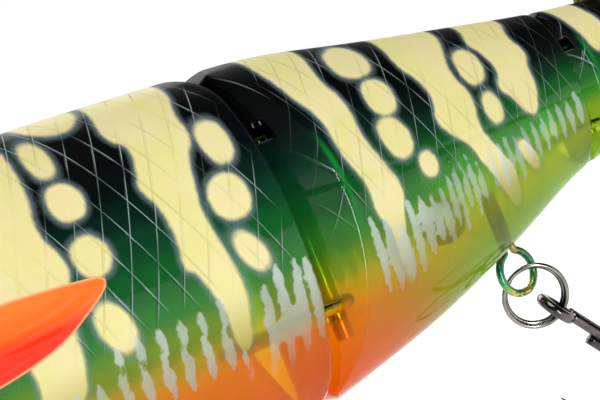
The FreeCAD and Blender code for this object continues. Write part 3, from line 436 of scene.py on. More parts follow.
def relief(x, y, z, fields):
    """Raised and sunken detail on the skin, in millimetres."""
    out = 0.16 * ease(-0.15, 0.35, fields["leaf"])
    # pectoral fin: a low raised leaf with rays
    fin = ease(-0.2, 1.0, fields["pectoral"])
    out += fin * (0.55 + 0.07 * np.cos((z + 1.0) * 5.0 / (0.35 + 0.02 * (104 - x).clip(0, 40))))
    # gill cover: a plate that ends in a rounded edge behind the eye
    edge = 63.5 - (z + 2.0) ** 2 / 26
    body = ease(3.0, 9.0, np.abs(y))
    plate = ease(28, 46, x) * (1 - ease(-0.15, 0.35, x - edge)) * ease(-14, -9, z) * (1 - ease(9, 13, z))
    out += body * 0.55 * plate
    inner = 54.0 - (z + 1.0) ** 2 / 18
    out -= body * 0.35 * hump(x - inner, 0.7) * ease(-10, -6, z) * (1 - ease(6, 9, z))
    # mouth: a groove from the snout back to below the eye, and the lip above it
    mouth = -2.6 - 0.09 * (x - 4) + 0.9 * np.sin((x - 4) / 9)
    out -= body_near(y, 1.0) * 0.6 * hump(z - mouth, 0.55) * (1 - ease(31, 35, x))
    out += body_near(y, 1.0) * 0.3 * hump(z - mouth - 1.3, 0.8) * (1 - ease(28, 34, x))
    # nostrils and the brow over the eye
    for side_x in (13.6, 16.4):
        spot = ((x - side_x) / 0.7) ** 2 + ((z - 3.0 - 0.2 * (side_x - 13.6)) / 0.6) ** 2
        out -= body_near(y, 2.0) * 0.5 * np.exp(-spot)
    round_eye = np.hypot(x - EYE_X, z - EYE_Z)
    out += 0.45 * hump(round_eye - EYE_R - 0.9, 0.7) * body_near(y, 4.0)
    # lateral line
    line = np.interp(x, [64, 96, 113, 128, 144, 153, 183, 230], [6.0, 5.0, 4.6, 3.1, 1.3, 0.9, 0.4, 1.8])
    out -= 0.10 * hump(z - line, 0.22) * body_near(y, 2.0) * ease(66, 70, x)
    return out


# the net's mesh: its width along the body and its height round the girth
NET_WIDE, NET_TALL = 3.35, 7.4


def part_nose_end(axis_x, x):
    """0 on a joint nose and 1 behind it."""
    return ease(axis_x - 3.5, axis_x - 0.5, x)


def cover_at(tone, name):
    """How much of the light the paint stops, apart from the cream and the painted leaf reflection."""
    steps = [-24, -13, -11.5, -8, -4, 0, 5, 9]
    front = np.interp(tone, steps, [0.34, 0.30, 0.40, 0.60, 0.80, 0.90, 0.97, 1.0])
    rear = np.interp(tone, steps, [0.12, 0.14, 0.20, 0.34, 0.52, 0.72, 0.93, 1.0])
    return front if name == "front_skin" else rear


def lesser_relief(x, y, z, fields):
    """Raised leaves and the lateral line behind the head."""
    out = 0.16 * ease(-0.15, 0.35, fields["leaf"])
    line = np.interp(x, [128, 144, 153, 183, 230], [3.1, 1.3, 0.9, 0.4, 1.8])
    out -= 0.08 * hump(z - line, 0.22) * body_near(y, 2.0)
    return out


# ---------------------------------------------------------------- meshes


def make_piece(name, points, faces, body, material, replaces=(), faces_material=None, fields=None):
    """A mesh object in metres from points in millimetres, riding on a body."""
    mesh = bpy.data.meshes.new(name)
    mesh.from_pydata((np.asarray(points, float) * MM).tolist(), [], [list(map(int, f)) for f in faces])
    mesh.validate()
    mesh.update()
    for kind in material if isinstance(material, (list, tuple)) else (material,):
        mesh.materials.append(kind)
    if faces_material is not None:
        mesh.polygons.foreach_set("material_index", np.asarray(faces_material, np.int32))
    mesh.polygons.foreach_set("use_smooth", np.full(len(mesh.polygons), True))
    for key, values in (fields or {}).items():
        layer = mesh.attributes.new(key, "FLOAT", "POINT")
        layer.data.foreach_set("value", np.asarray(values, np.float32))
    piece = bpy.data.objects.new(name, mesh)
    scene.collection.objects.link(piece)
    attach(piece, body)
    if replaces:
        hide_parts(*replaces)
    return piece


def grid_quads(index):
    """The faces of a grid of point numbers."""
    return np.stack([index[:-1, :-1], index[:-1, 1:], index[1:, 1:], index[1:, :-1]], -1).reshape(-1, 4)


def merged(points, quads):
    """Join points that coincide and drop the faces that collapse."""
    keys = np.round(points * 500).astype(np.int64)
    _, first, back = np.unique(keys, axis=0, return_index=True, return_inverse=True)
    back = back.reshape(-1)
    quads = back[quads]
    kept = []
    for quad in quads.tolist():
        corners = list(dict.fromkeys(quad))
        if len(corners) > 2:
            kept.append(corners)
    return points[first], kept


def vertex_normals(points, faces):
    """Unit normals, averaged over the faces round each point."""
    quads = np.array([f if len(f) == 4 else f + [f[-1]] for f in faces])
    across = np.cross(points[quads[:, 2]] - points[quads[:, 0]], points[quads[:, 3]] - points[quads[:, 1]])
    flat = np.where([len(f) == 3 for f in faces])[0]
    if len(flat):
        t = quads[flat]
        across[flat] = np.cross(points[t[:, 1]] - points[t[:, 0]], points[t[:, 2]] - points[t[:, 0]])
    normals = np.zeros(points.shape)
    for k in range(4):
        np.add.at(normals, quads[:, k], across)
    return normals / np.maximum(np.linalg.norm(normals, axis=1, keepdims=True), 1e-12)


def open_edges(faces):
    """Directed edges that only one face uses."""
    seen = set()
    for face in faces:
        for a, b in zip(face, face[1:] + face[:1]):
            if (b, a) in seen:
                seen.remove((b, a))
            else:
                seen.add((a, b))
    return seen


def closing_walls(edges, count):
    """Faces between two like sheets, from the open edges of the first; the second's points come after."""
    return [[b, a, a + count, b + count] for a, b in sorted(edges)]


# The skin's outer and inner face over the shell, how far off the shell is looked for, and the
# farthest that a point may be from it to be believed.
LIFT, UNDER, REACH, NEAR_ENOUGH = 0.16, 0.03, 2.5, 1.2
# Rounds of averaging for the points with no shell under them, and the last of them for all points.
FILL_ROUNDS, SMOOTH_ROUNDS = 87, 3


def onto_shell(points, faces, normals, body):
    """Carry the points along their normals onto the moulded shell's outer face."""
    corners, sides, count = [], [], 0
    for word in ("left", "right"):
        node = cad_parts[f"{body}_shell_{word}"]
        corners += [node.matrix_world @ v.co / MM for v in node.data.vertices]
        sides += [[v + count for v in side.vertices] for side in node.data.polygons]
        count = len(corners)
    tree = BVHTree.FromPolygons(corners, sides)
    moved = np.full(len(points), np.nan)
    for k, (point, normal) in enumerate(zip(points, normals)):
        _, _, _, gone = tree.ray_cast(Vector(point + normal * REACH), Vector(-normal), 2 * REACH)
        if gone is not None:
            moved[k] = REACH - gone
    known = np.abs(np.nan_to_num(moved, nan=REACH)) < NEAR_ENOUGH
    moved[~known] = 0.0
    links = np.array([(a, b) for f in faces for a, b in zip(f, f[1:] + f[:1])])
    shares = np.where(known, 1.0, 0.0)
    for sweep in range(FILL_ROUNDS + SMOOTH_ROUNDS):
        total, weight = moved * shares, shares.copy()
        np.add.at(total, links[:, 0], moved[links[:, 1]] * shares[links[:, 1]])
        np.add.at(weight, links[:, 0], shares[links[:, 1]])
        mean = total / np.maximum(weight, 1e-9)
        change = ~known if sweep < FILL_ROUNDS else np.ones(len(points), bool)
        moved = np.where(change, mean, moved)
        shares = np.where(weight > 0, 1.0, 0.0)
    return points + normals * moved[:, None]


def skin(name, part, nose_x, axis_x, body, material):
    """The paint and clear coat of one segment, a thin closed layer over the moulded shell."""
    grid = sleeve(part, nose_x)
    rows, columns = grid.shape[:2]
    index = np.arange(rows * columns).reshape(rows, columns)
    quads = grid_quads(index)
    points = grid.reshape(-1, 3)
    centre = points[quads].mean(axis=1)
    keep = np.ones(len(quads), bool)
    for slot in part["slots"]:
        inside = np.abs(centre[:, 2] - slot) < part["slot_half"] - 0.1
        row = np.argmin(np.abs(grid[:, columns // 2, 2] - slot))
        open_columns = np.abs(grid[row, :, 1]) < part["slot_reach"]
        open_columns &= grid[row, :, 0] < axis_x + 1
        ahead = np.tile(open_columns[:-1] & open_columns[1:], rows - 1)
        keep &= ~(inside & ahead)
    eyes = name == "front_skin"
    if eyes:
        socket = np.hypot(centre[:, 0] - EYE_X, centre[:, 2] - EYE_Z) < EYE_R + 0.05
        keep &= ~(socket & (np.abs(centre[:, 1]) > EYE_SIDE))
    points, faces = merged(points, quads[keep])
    edges = open_edges(faces)
    if eyes:
        rim = np.unique(np.array(sorted(edges)).reshape(-1))
        from_eye = np.hypot(points[rim, 0] - EYE_X, points[rim, 2] - EYE_Z)
        near = rim[(from_eye < EYE_R + 1.5) & (np.abs(points[rim, 1]) > EYE_SIDE)]
        turn = np.arctan2(points[near, 2] - EYE_Z, points[near, 0] - EYE_X)
        x = EYE_X + (EYE_R + EYE_CLEAR) * np.cos(turn)
        z = EYE_Z + (EYE_R + EYE_CLEAR) * np.sin(turn)
        h, w, m = section(x)
        y = np.sign(points[near, 1]) * w * np.sqrt(1 - ((z - m) / h) ** 2)
        points[near] = np.stack([x, y, z], -1)
    normals = vertex_normals(points, faces)
    m = section(points[:, 0])[2]
    outward = points * (0, 1, 1) - np.stack([0 * m, 0 * m, m], -1)
    if (normals * outward).sum() < 0:
        faces = [f[::-1] for f in faces]
        edges = {(b, a) for a, b in edges}
        normals = -normals
    points = onto_shell(points, faces, normals, body)
    x, y, z = points.T
    fields = painted_fields(x, y, z)
    raised = relief(x, y, z, fields) if name == "front_skin" else lesser_relief(x, y, z, fields)
    outer = points + normals * (LIFT + raised)[:, None]
    inner = points + normals * UNDER
    count = len(points)
    under = [[v + count for v in f[::-1]] for f in faces]
    walls = closing_walls(edges, count)
    tone = tone_at(x, z)
    run = girth(x, y, z)
    from_rim = np.minimum(np.abs(part["end"](z) - x), 99)
    nose_free = ease(1.0, 3.0, from_rim)
    net = nose_free * ease(-6.0, -1.5, tone) * (1 - ease(0.5, 1.0, fields["pectoral"]))
    net = net * (ease(60, 66, x) if name == "front_skin" else part_nose_end(axis_x, x))
    seam = x - part["start"](y, z)
    half_height, _, middle_z = section(x)
    fields.update(
        back=np.clip((z - middle_z) / half_height, -1, 1),
        # flank: where the painted highlight along the edge of a joint's flank lies
        flank=ease(0.1, 0.5, seam) * (1 - ease(0.7, 1.3, seam)) * ease(-6, -3, tone) * (name != "front_skin"),
        tone=tone,
        aft=ease(138, 158, x),
        cover=cover_at(tone, name),
        net_a=x / NET_WIDE + run / NET_TALL + 0.30,
        net_b=x / NET_WIDE - run / NET_TALL + 0.05,
        net=net,
    )
    fields = {key: np.tile(values, 2) for key, values in fields.items()}
    which = [0] * len(faces) + [1] * (len(under) + len(walls))
    return make_piece(
        name, np.vstack([outer, inner]), faces + under + walls, body, [material, under_coat],
        faces_material=which, fields=fields,
    )


# ---------------------------------------------------------------- materials


def linear(colour):
    """A colour given as 0 to 255, as the shader's linear value."""
    c = np.array(colour, float) / 255
    return tuple(np.where(c <= 0.04045, c / 12.92, ((c + 0.055) / 1.055) ** 2.4)) + (1.0,)


class Nodes:
    """A material or a world being made, with short words for the nodes it needs."""

    def __init__(self, owner, output):
        self.owner = owner
        owner.use_nodes = True
        self.tree = owner.node_tree
        self.tree.nodes.clear()
        self.output = self.tree.nodes.new(output)

    def put(self, socket, value):
        """Link a socket to another, or set it."""
        if isinstance(value, bpy.types.NodeSocket):
            self.tree.links.new(value, socket)
        elif isinstance(value, tuple) and len(value) == 3 and socket.type == "RGBA":
            socket.default_value = linear(value)
        else:
            socket.default_value = value

    def node(self, kind, **values):
        item = self.tree.nodes.new(kind)
        for key, value in values.items():
            self.put(item.inputs[key.replace("_", " ")], value)
        return item

    def math(self, operation, *values, kind="ShaderNodeMath"):
        item = self.tree.nodes.new(kind)
        item.operation = operation
        for socket, value in zip(item.inputs, values):
            self.put(socket, value)
        return item.outputs[0]

    def span(self, value, low, high, start=0.0, end=1.0):
        """Smoothly from start to end as the value goes from low to high."""
        item = self.tree.nodes.new("ShaderNodeMapRange")
        item.interpolation_type = "SMOOTHSTEP"
        for key, what in (("Value", value), ("From Min", low), ("From Max", high), ("To Min", start),
                          ("To Max", end)):
            self.put(item.inputs[key], what)
        return item.outputs[0]

    def mix(self, share, first, second, blend="MIX"):
        item = self.tree.nodes.new("ShaderNodeMix")
        item.data_type = "RGBA"
        item.blend_type = blend
        self.put(item.inputs[0], share)
        self.put(item.inputs[6], first)
        self.put(item.inputs[7], second)
        return item.outputs[2]

    def field(self, name):
        item = self.tree.nodes.new("ShaderNodeAttribute")
        item.attribute_name = name
        return item.outputs["Fac"]

    def place(self):
        return self.node("ShaderNodeTexCoord").outputs["Object"]

    def along(self, axis, zero=0.0):
        """Place along an axis, in millimetres from a zero."""
        parts = self.node("ShaderNodeSeparateXYZ", Vector=self.place())
        return self.math("MULTIPLY_ADD", parts.outputs[axis], 1000.0, -zero)

    def noise(self, scale, detail=3.0):
        values = dict(Vector=self.place(), Scale=scale, Detail=detail, Roughness=0.55)
        return self.node("ShaderNodeTexNoise", **values).outputs["Fac"]

    def ramp(self, value, stops):
        """A colour ramp over a value's positions."""
        low, high = stops[0][0], stops[-1][0]
        item = self.tree.nodes.new("ShaderNodeValToRGB")
        item.color_ramp.interpolation = "EASE"
        marks = item.color_ramp.elements
        while len(marks) < len(stops):
            marks.new(0.5)
        for mark, (where, colour) in zip(marks, stops):
            mark.position = (where - low) / (high - low)
        for mark, (where, colour) in zip(marks, stops):
            mark.color = linear(colour)
        flat = self.tree.nodes.new("ShaderNodeMapRange")
        self.put(flat.inputs["Value"], value)
        self.put(flat.inputs["From Min"], float(low))
        self.put(flat.inputs["From Max"], float(high))
        self.put(item.inputs["Fac"], flat.outputs[0])
        return item.outputs["Color"]

    def bump(self, height, distance, strength=1.0):
        item = self.node("ShaderNodeBump", Height=height, Strength=strength)
        item.inputs["Distance"].default_value = distance
        return item.outputs["Normal"]

    def principled(self, tint, roughness, normal, **values):
        values = {"Base_Color": tint, "Roughness": roughness, "Normal": normal, **values}
        return self.node("ShaderNodeBsdfPrincipled", **values).outputs[0]

    def blend(self, share, first, second):
        item = self.tree.nodes.new("ShaderNodeMixShader")
        self.put(item.inputs[0], share)
        self.put(item.inputs[1], first)
        self.put(item.inputs[2], second)
        return item.outputs[0]

    def done(self, shader):
        self.tree.links.new(shader, self.output.inputs["Surface"])
        return self.owner


def new_finish(name):
    """The nodes of a new material."""
    return Nodes(bpy.data.materials.new(name), "ShaderNodeOutputMaterial")


def clear_shader(f, colour, glow_share, ior, roughness=0.04, normal=None):
    """Clear tinted plastic: light goes straight through, a little glows, and the face reflects."""
    through = f.node("ShaderNodeBsdfTransparent", Color=colour).outputs[0]
    glow = f.node("ShaderNodeBsdfTranslucent", Color=colour).outputs[0]
    inside = f.blend(glow_share, through, glow)
    gloss = f.node("ShaderNodeBsdfAnisotropic", Color=(255, 255, 255), Roughness=roughness)
    fresnel = f.node("ShaderNodeFresnel", IOR=ior)
    if normal is not None:
        f.put(gloss.inputs["Normal"], normal)
        f.put(fresnel.inputs["Normal"], normal)
    # only the outer face reflects
    outer = f.math("SUBTRACT", 1.0, f.node("ShaderNodeNewGeometry").outputs["Backfacing"])
    return f.blend(f.math("MULTIPLY", fresnel.outputs[0], outer), inside, gloss.outputs[0])


FRONT_PAINT = [(-24, (240, 104, 8)), (-13.0, (246, 146, 8)), (-11.3, (226, 160, 10)), (-10.2, (180, 166, 20)),
               (-7.5, (104, 140, 22)), (-4, (34, 112, 38)), (0, (10, 84, 32)), (4, (4, 56, 30)),
               (7, (2, 30, 22)), (10.5, (2, 8, 9)), (14, (1, 3, 3)), (22, (1, 2, 2))]
REAR_PAINT = [(-24, (150, 184, 92)), (-16, (176, 200, 60)), (-11, (212, 212, 8)), (-7.5, (168, 194, 10)),
              (-4, (64, 154, 30)), (0, (14, 98, 32)), (4, (3, 42, 20)), (6.5, (2, 12, 9)), (11, (1, 3, 3)),
              (22, (1, 2, 2))]
FRONT_LIGHT = [(-24, (238, 142, 18)), (-13, (244, 184, 12)), (-11.2, (240, 206, 14)), (-10, (224, 214, 26)),
               (-7, (180, 212, 46)), (-3, (116, 200, 92)), (2, (50, 150, 76)), (8, (16, 70, 48)),
               (22, (6, 20, 18))]
REAR_LIGHT = [(-24, (164, 204, 132)), (-15, (182, 212, 84)), (-11, (226, 216, 8)), (-7, (190, 216, 22)),
              (-3, (110, 212, 84)), (2, (48, 148, 68)), (8, (14, 58, 40)), (22, (5, 18, 16))]


def make_skin_material():
    """Airbrushed paint under clear coat: opaque above, tinted clear plastic below."""
    f = new_finish("lure_paint")
    tone, aft = f.field("tone"), f.field("aft")
    cloud = f.noise(260.0, 4.0)
    drift = f.math("MULTIPLY_ADD", f.math("SUBTRACT", cloud, 0.5), 2.2, tone)
    paint = f.mix(aft, f.ramp(drift, FRONT_PAINT), f.ramp(drift, REAR_PAINT))
    light = f.mix(aft, f.ramp(drift, FRONT_LIGHT), f.ramp(drift, REAR_LIGHT))
    # engraved net: a bumped groove, with a painted highlight beside each line and painted shade in the groove
    lit, cut = [], []
    for key in ("net_a", "net_b"):
        across = f.math("MULTIPLY", f.math("SUBTRACT", f.math("FRACT", f.field(key)), 0.5), 3.05)
        lit.append(f.math("MULTIPLY", f.span(across, 0.0, 0.08), f.span(across, 0.09, 0.18, 1.0, 0.0)))
        cut.append(f.math("MULTIPLY", f.span(across, -0.20, -0.10), f.span(across, -0.08, 0.02, 1.0, 0.0)))
    mask = f.field("net")
    patchy = f.math("MULTIPLY", mask, f.span(f.noise(120.0, 2.0), 0.40, 0.60, 0.12, 1.0))
    groove_and_shade = f.math("MULTIPLY", f.math("MAXIMUM", *cut), patchy)
    net_highlight = f.math("MULTIPLY", f.math("MAXIMUM", *lit), patchy)
    # cream with a soft airbrushed edge
    grain = f.math("MULTIPLY", f.math("SUBTRACT", f.noise(1500.0, 2.0), 0.5), 0.22)
    cream_at = f.math("ADD", f.field("cream"), grain)
    cream = f.span(cream_at, -0.36, 0.22)
    halo = f.span(cream_at, -1.0, 0.0, 0.0, 0.62)
    paint = f.mix(halo, paint, (112, 130, 132))
    cream_tint = f.mix(f.span(tone, -12.0, -3.0, 1.0, 0.0), (217, 206, 152), (194, 187, 100))
    cream_tint = f.mix(f.span(f.noise(170.0, 3.0), 0.40, 0.66, 0.0, 0.55), cream_tint, (211, 206, 126))
    cream_tint = f.mix(f.span(f.noise(95.0, 2.0), 0.50, 0.70, 0.0, 0.45), cream_tint, (222, 200, 150))
    paint = f.mix(cream, paint, cream_tint)
    net_highlight_tint = f.mix(cream, (150, 176, 168), (170, 160, 96))
    faint = f.span(cream, 0.0, 1.0, 0.80, 0.30)
    # painted highlight along one edge of each net line, fainter on the cream
    paint = f.mix(f.math("MULTIPLY", net_highlight, faint), paint, net_highlight_tint)
    # painted shade in the net's grooves, the same mask that drives the bump
    paint = f.mix(f.math("MULTIPLY", groove_and_shade, f.span(cream, 0.0, 1.0, 0.5, 0.12)), paint, (10, 14, 12))
    # painted highlight: a bright green line along the edge of a joint's flank, where light would catch
    flank_highlight = f.math("MULTIPLY", f.field("flank"), f.span(tone, 4.0, 9.0, 1.0, 0.0))
    paint = f.mix(flank_highlight, paint, (18, 124, 44))
    # painted reflection: the raised leaves painted pale grey, as if they mirrored the white floor and lamps
    torn = f.math("MULTIPLY", f.math("SUBTRACT", f.noise(700.0, 3.0), 0.5), 1.3)
    leaf = f.span(f.math("ADD", f.field("leaf"), torn), -0.14, 0.14)
    sink = f.math("MULTIPLY", f.span(tone, -15.5, -10.5, 0.35, 0.9), f.span(aft, 0.0, 1.0, 1.0, 0.8))
    cloudy = f.span(f.noise(240.0, 2.0), 0.3, 0.75, 0.82, 1.0)
    leaf_reflection = f.math("MULTIPLY", leaf, f.math("MULTIPLY", sink, cloudy))
    paint = f.mix(leaf_reflection, paint, f.mix(f.noise(180.0), (176, 192, 184), (200, 206, 196)))
    # pectoral fin: orange above, red below, with a painted highlight as a pale rim round its raised edge
    fin_field = f.field("pectoral")
    fin = f.span(fin_field, -0.06, 0.06)
    fin_tint = f.ramp(f.along("Z"), [(-5.0, (216, 20, 6)), (-1.2, (246, 44, 8)), (1.0, (255, 104, 34)),
                                     (4.5, (255, 132, 60))])
    # painted highlight: a pale band just inside the fin's edge
    rim = f.math("MULTIPLY", fin, f.span(fin_field, 0.05, 0.35, 0.85, 0.0))
    fin_tint = f.mix(rim, fin_tint, (248, 176, 120))
    paint = f.mix(fin, paint, fin_tint)
    fade = f.span(tone, -15.0, -9.5, 0.15, 1.0)
    opaque = f.math("MAXIMUM", f.field("cover"), f.math("MULTIPLY", cream, fade))
    opaque = f.math("MAXIMUM", opaque, f.math("MAXIMUM", leaf_reflection, fin))
    dent = f.math("MULTIPLY_ADD", groove_and_shade, -1.0, f.math("MULTIPLY", cloud, 0.04))
    coat_normal = f.bump(dent, 0.00002)
    solid = f.principled(
        paint, 0.42, f.bump(dent, 0.00006), Coat_Weight=f.span(f.field("back"), 0.80, 0.97, 0.55, 0.04),
        Coat_Roughness=0.045, Specular_IOR_Level=0.04, Coat_Normal=coat_normal,
    )
    clear = clear_shader(f, light, 0.30, 1.27, normal=coat_normal)
    lit_through = f.node("ShaderNodeBsdfTranslucent", Color=paint).outputs[0]
    thin = f.math("MULTIPLY", f.span(tone, -12.0, -4.0, 0.5, 0.0), f.math("SUBTRACT", 1.0, fin))
    return f.done(f.blend(opaque, clear, f.blend(thin, solid, lit_through)))


def make_under_coat():
    """The clear underside of the skin, nearly invisible."""
    f = new_finish("lure_under_coat")
    haze = f.span(f.noise(300.0), 0.3, 0.7, 0.95, 1.0)
    tint = f.mix(haze, (236, 240, 236), (252, 253, 252))
    through = f.node("ShaderNodeBsdfTransparent", Color=tint).outputs[0]
    return f.done(through)


def make_shell_material():
    """The moulded body: clear plastic, stained by the paint over it."""
    f = new_finish("moulded_shell")
    tint = f.ramp(f.along("Z"), [
        (-22, (255, 248, 226)), (-12, (255, 250, 220)), (-9.5, (252, 253, 220)), (-4, (234, 250, 226)),
        (1, (176, 224, 190)), (7, (84, 130, 104)), (12, (24, 34, 32)), (22, (12, 16, 16)),
    ])
    flow = f.bump(f.noise(140.0, 2.0), 0.0002, 0.5)
    return f.done(clear_shader(f, tint, 0.03, 1.18, 0.06, flow))


def metal(name, colour, dark, roughness, scratch=900.0, coat=0.0):
    """Drawn wire: fine scratches and a little darkening."""
    f = new_finish(name)
    stain = f.span(f.noise(scratch * 0.3, 3.0), 0.35, 0.7)
    tint = f.mix(stain, colour, dark)
    rough = f.span(f.noise(scratch, 4.0), 0.25, 0.75, roughness * 0.7, roughness * 1.4)
    normal = f.bump(f.noise(scratch * 2, 2.0), 0.00002, 0.5)
    return f.done(f.principled(tint, rough, normal, Metallic=1.0, Coat_Weight=coat))


def make_painted_wire():
    """Hanger wire with the body's green and gold sprayed over it."""
    f = new_finish("sprayed_wire")
    tint = f.ramp(f.along("Z"), [(-28, (226, 196, 60)), (-21.5, (206, 186, 54)), (-19.5, (70, 150, 74)),
                                 (-17, (34, 120, 84)), (-15.5, (150, 128, 46)), (-8, (40, 90, 40))])
    tint = f.mix(f.span(f.noise(900.0, 2.0), 0.46, 0.60), tint, (26, 112, 74))
    normal = f.bump(f.noise(1600.0), 0.00003)
    return f.done(f.principled(tint, 0.3, normal, Metallic=0.85, Coat_Weight=1.0, Coat_Roughness=0.05))


def make_soft_fin():
    """Soft translucent plastic, dark and flecked at the root, amber at the edge."""
    f = new_finish("soft_fin_plastic")
    ray, out = f.field("ray"), f.field("out")
    fleck = f.span(f.noise(1300.0, 2.0), 0.60, 0.68)
    tint = f.ramp(out, [(0.0, (24, 58, 34)), (0.35, (66, 104, 44)), (0.75, (150, 140, 52)),
                        (1.0, (196, 150, 70))])
    tint = f.mix(f.math("MULTIPLY", ray, 0.55), tint, (20, 34, 22))
    tint = f.mix(fleck, tint, (12, 16, 12))
    through = f.node("ShaderNodeBsdfTransparent", Color=f.mix(0.45, tint, (255, 250, 226))).outputs[0]
    solid = f.principled(tint, 0.34, f.bump(f.noise(700.0), 0.00004))
    glow = f.node("ShaderNodeBsdfTranslucent", Color=tint).outputs[0]
    body = f.blend(0.4, solid, glow)
    return f.done(f.blend(f.span(out, 0.1, 1.0, 0.12, 0.42), body, through))


def make_iris():
    """Holographic foil iris with a black pupil."""
    f = new_finish("foil_iris")
    dx, dz = f.along("X", EYE_X), f.along("Z", EYE_Z)
    away = f.math("SQRT", f.math("ADD", *(f.math("POWER", f.math("ABSOLUTE", d), 2.0) for d in (dx, dz))))
    turn = f.math("ARCTAN2", dz, dx)
    rays = f.math("SINE", f.math("MULTIPLY_ADD", turn, 36.0, f.math("MULTIPLY", f.noise(500.0), 6.0)))
    foil = f.mix(f.span(rays, -1.0, 1.0), (222, 168, 40), (246, 214, 120))
    foil = f.mix(f.span(away, 3.1, 4.3), foil, (150, 50, 16))
    foil = f.mix(f.span(away, 1.9, 2.05, 1.0, 0.0), foil, (4, 4, 5))
    metallic = f.span(away, 1.9, 2.05, 0.0, 0.9)
    return f.done(f.principled(foil, 0.25, f.bump(rays, 0.00005), Metallic=metallic))


def make_lens():
    """Clear moulded eye dome."""
    f = new_finish("eye_dome")
    tint = f.mix(f.noise(200.0), (250, 252, 252), (255, 255, 255))
    return f.done(clear_shader(f, tint, 0.02, 1.5, 0.02))


def make_floor():
    """Pale matt paper."""
    f = new_finish("paper")
    tint = f.mix(f.noise(6.0), (253, 253, 253), (255, 255, 255))
    # a lit paper sweep, brighter far off so that it meets the white behind it
    away = f.math("LENGTH", f.place(), kind="ShaderNodeVectorMath").node.outputs["Value"]
    return f.done(f.principled(
        tint, 0.8, f.bump(f.noise(300.0), 0.0001, 0.2), Emission_Color=(255, 255, 255),
        Emission_Strength=f.span(away, 0.4, 1.5, 0.20, 0.80),
    ))


under_coat = make_under_coat()
skin_paint = make_skin_material()
shell_clear = make_shell_material()
steel = metal("stainless", (206, 208, 210), (150, 152, 156), 0.22)
nickel = metal("nickel_wire", (158, 154, 146), (88, 84, 78), 0.14)
black_nickel = metal("black_nickel", (104, 98, 96), (48, 42, 40), 0.15, coat=0.4)
lead = metal("cast_weight", (150, 152, 156), (96, 98, 102), 0.42, 500.0)
sprayed = make_painted_wire()
soft_plastic = make_soft_fin()
iris = make_iris()
lens = make_lens()


# ---------------------------------------------------------------- skins over the moulded shells

skin("front_skin", SEGMENTS["front"], NOSE_X, NOSE_X - 9, "front", skin_paint)
skin("middle_skin", SEGMENTS["middle"], MIDDLE_SKIN_X, FRONT_AXIS, "middle", skin_paint)
skin("rear_skin", SEGMENTS["rear"], REAR_SKIN_X, REAR_AXIS, "rear", skin_paint)


# ---------------------------------------------------------------- wire and hardware


def tube(path, radius, closed=False, around=16, flatten=None):
    """Points and faces of a round bar swept along a path; the radius may change on the way."""
    path = np.asarray(path, float)
    count = len(path)
    radii = np.broadcast_to(np.asarray(radius, float), (count,))
    if closed:
        forward = np.roll(path, -1, axis=0) - np.roll(path, 1, axis=0)
    else:
        forward = np.gradient(path, axis=0)
    forward /= np.linalg.norm(forward, axis=1, keepdims=True)
    start = np.cross(forward[0], (0.0, 0.0, 1.0))
    if np.linalg.norm(start) < 0.2:
        start = np.cross(forward[0], (0.0, 1.0, 0.0))
    side = [start / np.linalg.norm(start)]
    for k in range(1, count):
        turned = side[-1] - forward[k] * (side[-1] @ forward[k])
        side.append(turned / np.linalg.norm(turned))
    side = np.array(side)
    up = np.cross(forward, side)
    turn = np.linspace(0, 2 * math.pi, around, endpoint=False)
    if closed:
        # spread the frame's remaining twist along the loop
        last = side[-1] - forward[0] * (side[-1] @ forward[0])
        last /= np.linalg.norm(last)
        twist = math.atan2(last @ up[0], last @ side[0])
    else:
        twist = 0.0
    points = []
    for k in range(count):
        angle = turn - twist * k / count
        ring = np.outer(np.cos(angle), side[k]) + np.outer(np.sin(angle), up[k])
        if flatten is not None:
            direction, share = flatten
            ring = ring - np.outer(ring @ direction, direction) * share[k]
        points.append(path[k] + ring * radii[k])
    points = np.concatenate(points)
    faces = []
    for k in range(count if closed else count - 1):
        after = (k + 1) % count
        for n in range(around):
            m = (n + 1) % around
            faces.append([k * around + n, k * around + m, after * around + m, after * around + n])
    if not closed:
        faces.append(list(range(around))[::-1])
        faces.append(list(range((count - 1) * around, count * around)))
    return points, faces


def together(*shapes):
    """Several shapes as one list of points and one of faces."""
    points, faces, offset = [], [], 0
    for some, links in shapes:
        points.append(np.asarray(some))
        faces += [[v + offset for v in f] for f in links]
        offset += len(some)
    return np.concatenate(points), faces


def arc(centre, radius, first, last, steps, across=(1, 0, 0), along=(0, 0, 1)):
    """Points on an arc, in degrees, in the plane of two directions."""
    turn = np.radians(np.linspace(first, last, steps))
    centre, across, along = (np.array(v, float) for v in (centre, across, along))
    return centre + radius * (np.outer(np.cos(turn), across) + np.outer(np.sin(turn), along))


def dome_ends(path, radius, steps=5):
    """Lengthen a bar's two ends with rounded tips: returns the new path and its radii."""
    path = np.asarray(path, float)
    first = (path[0] - path[1]) / np.linalg.norm(path[0] - path[1])
    last = (path[-1] - path[-2]) / np.linalg.norm(path[-1] - path[-2])
    turn = np.linspace(0, math.pi / 2 * 0.96, steps)[1:]
    before = [path[0] + first * radius * math.sin(t) for t in turn[::-1]]
    after = [path[-1] + last * radius * math.sin(t) for t in turn]
    rim = [radius * math.cos(t) for t in turn]
    radii = np.array(rim[::-1] + [radius] * len(path) + rim)
    return np.vstack([before, path, after]), radii


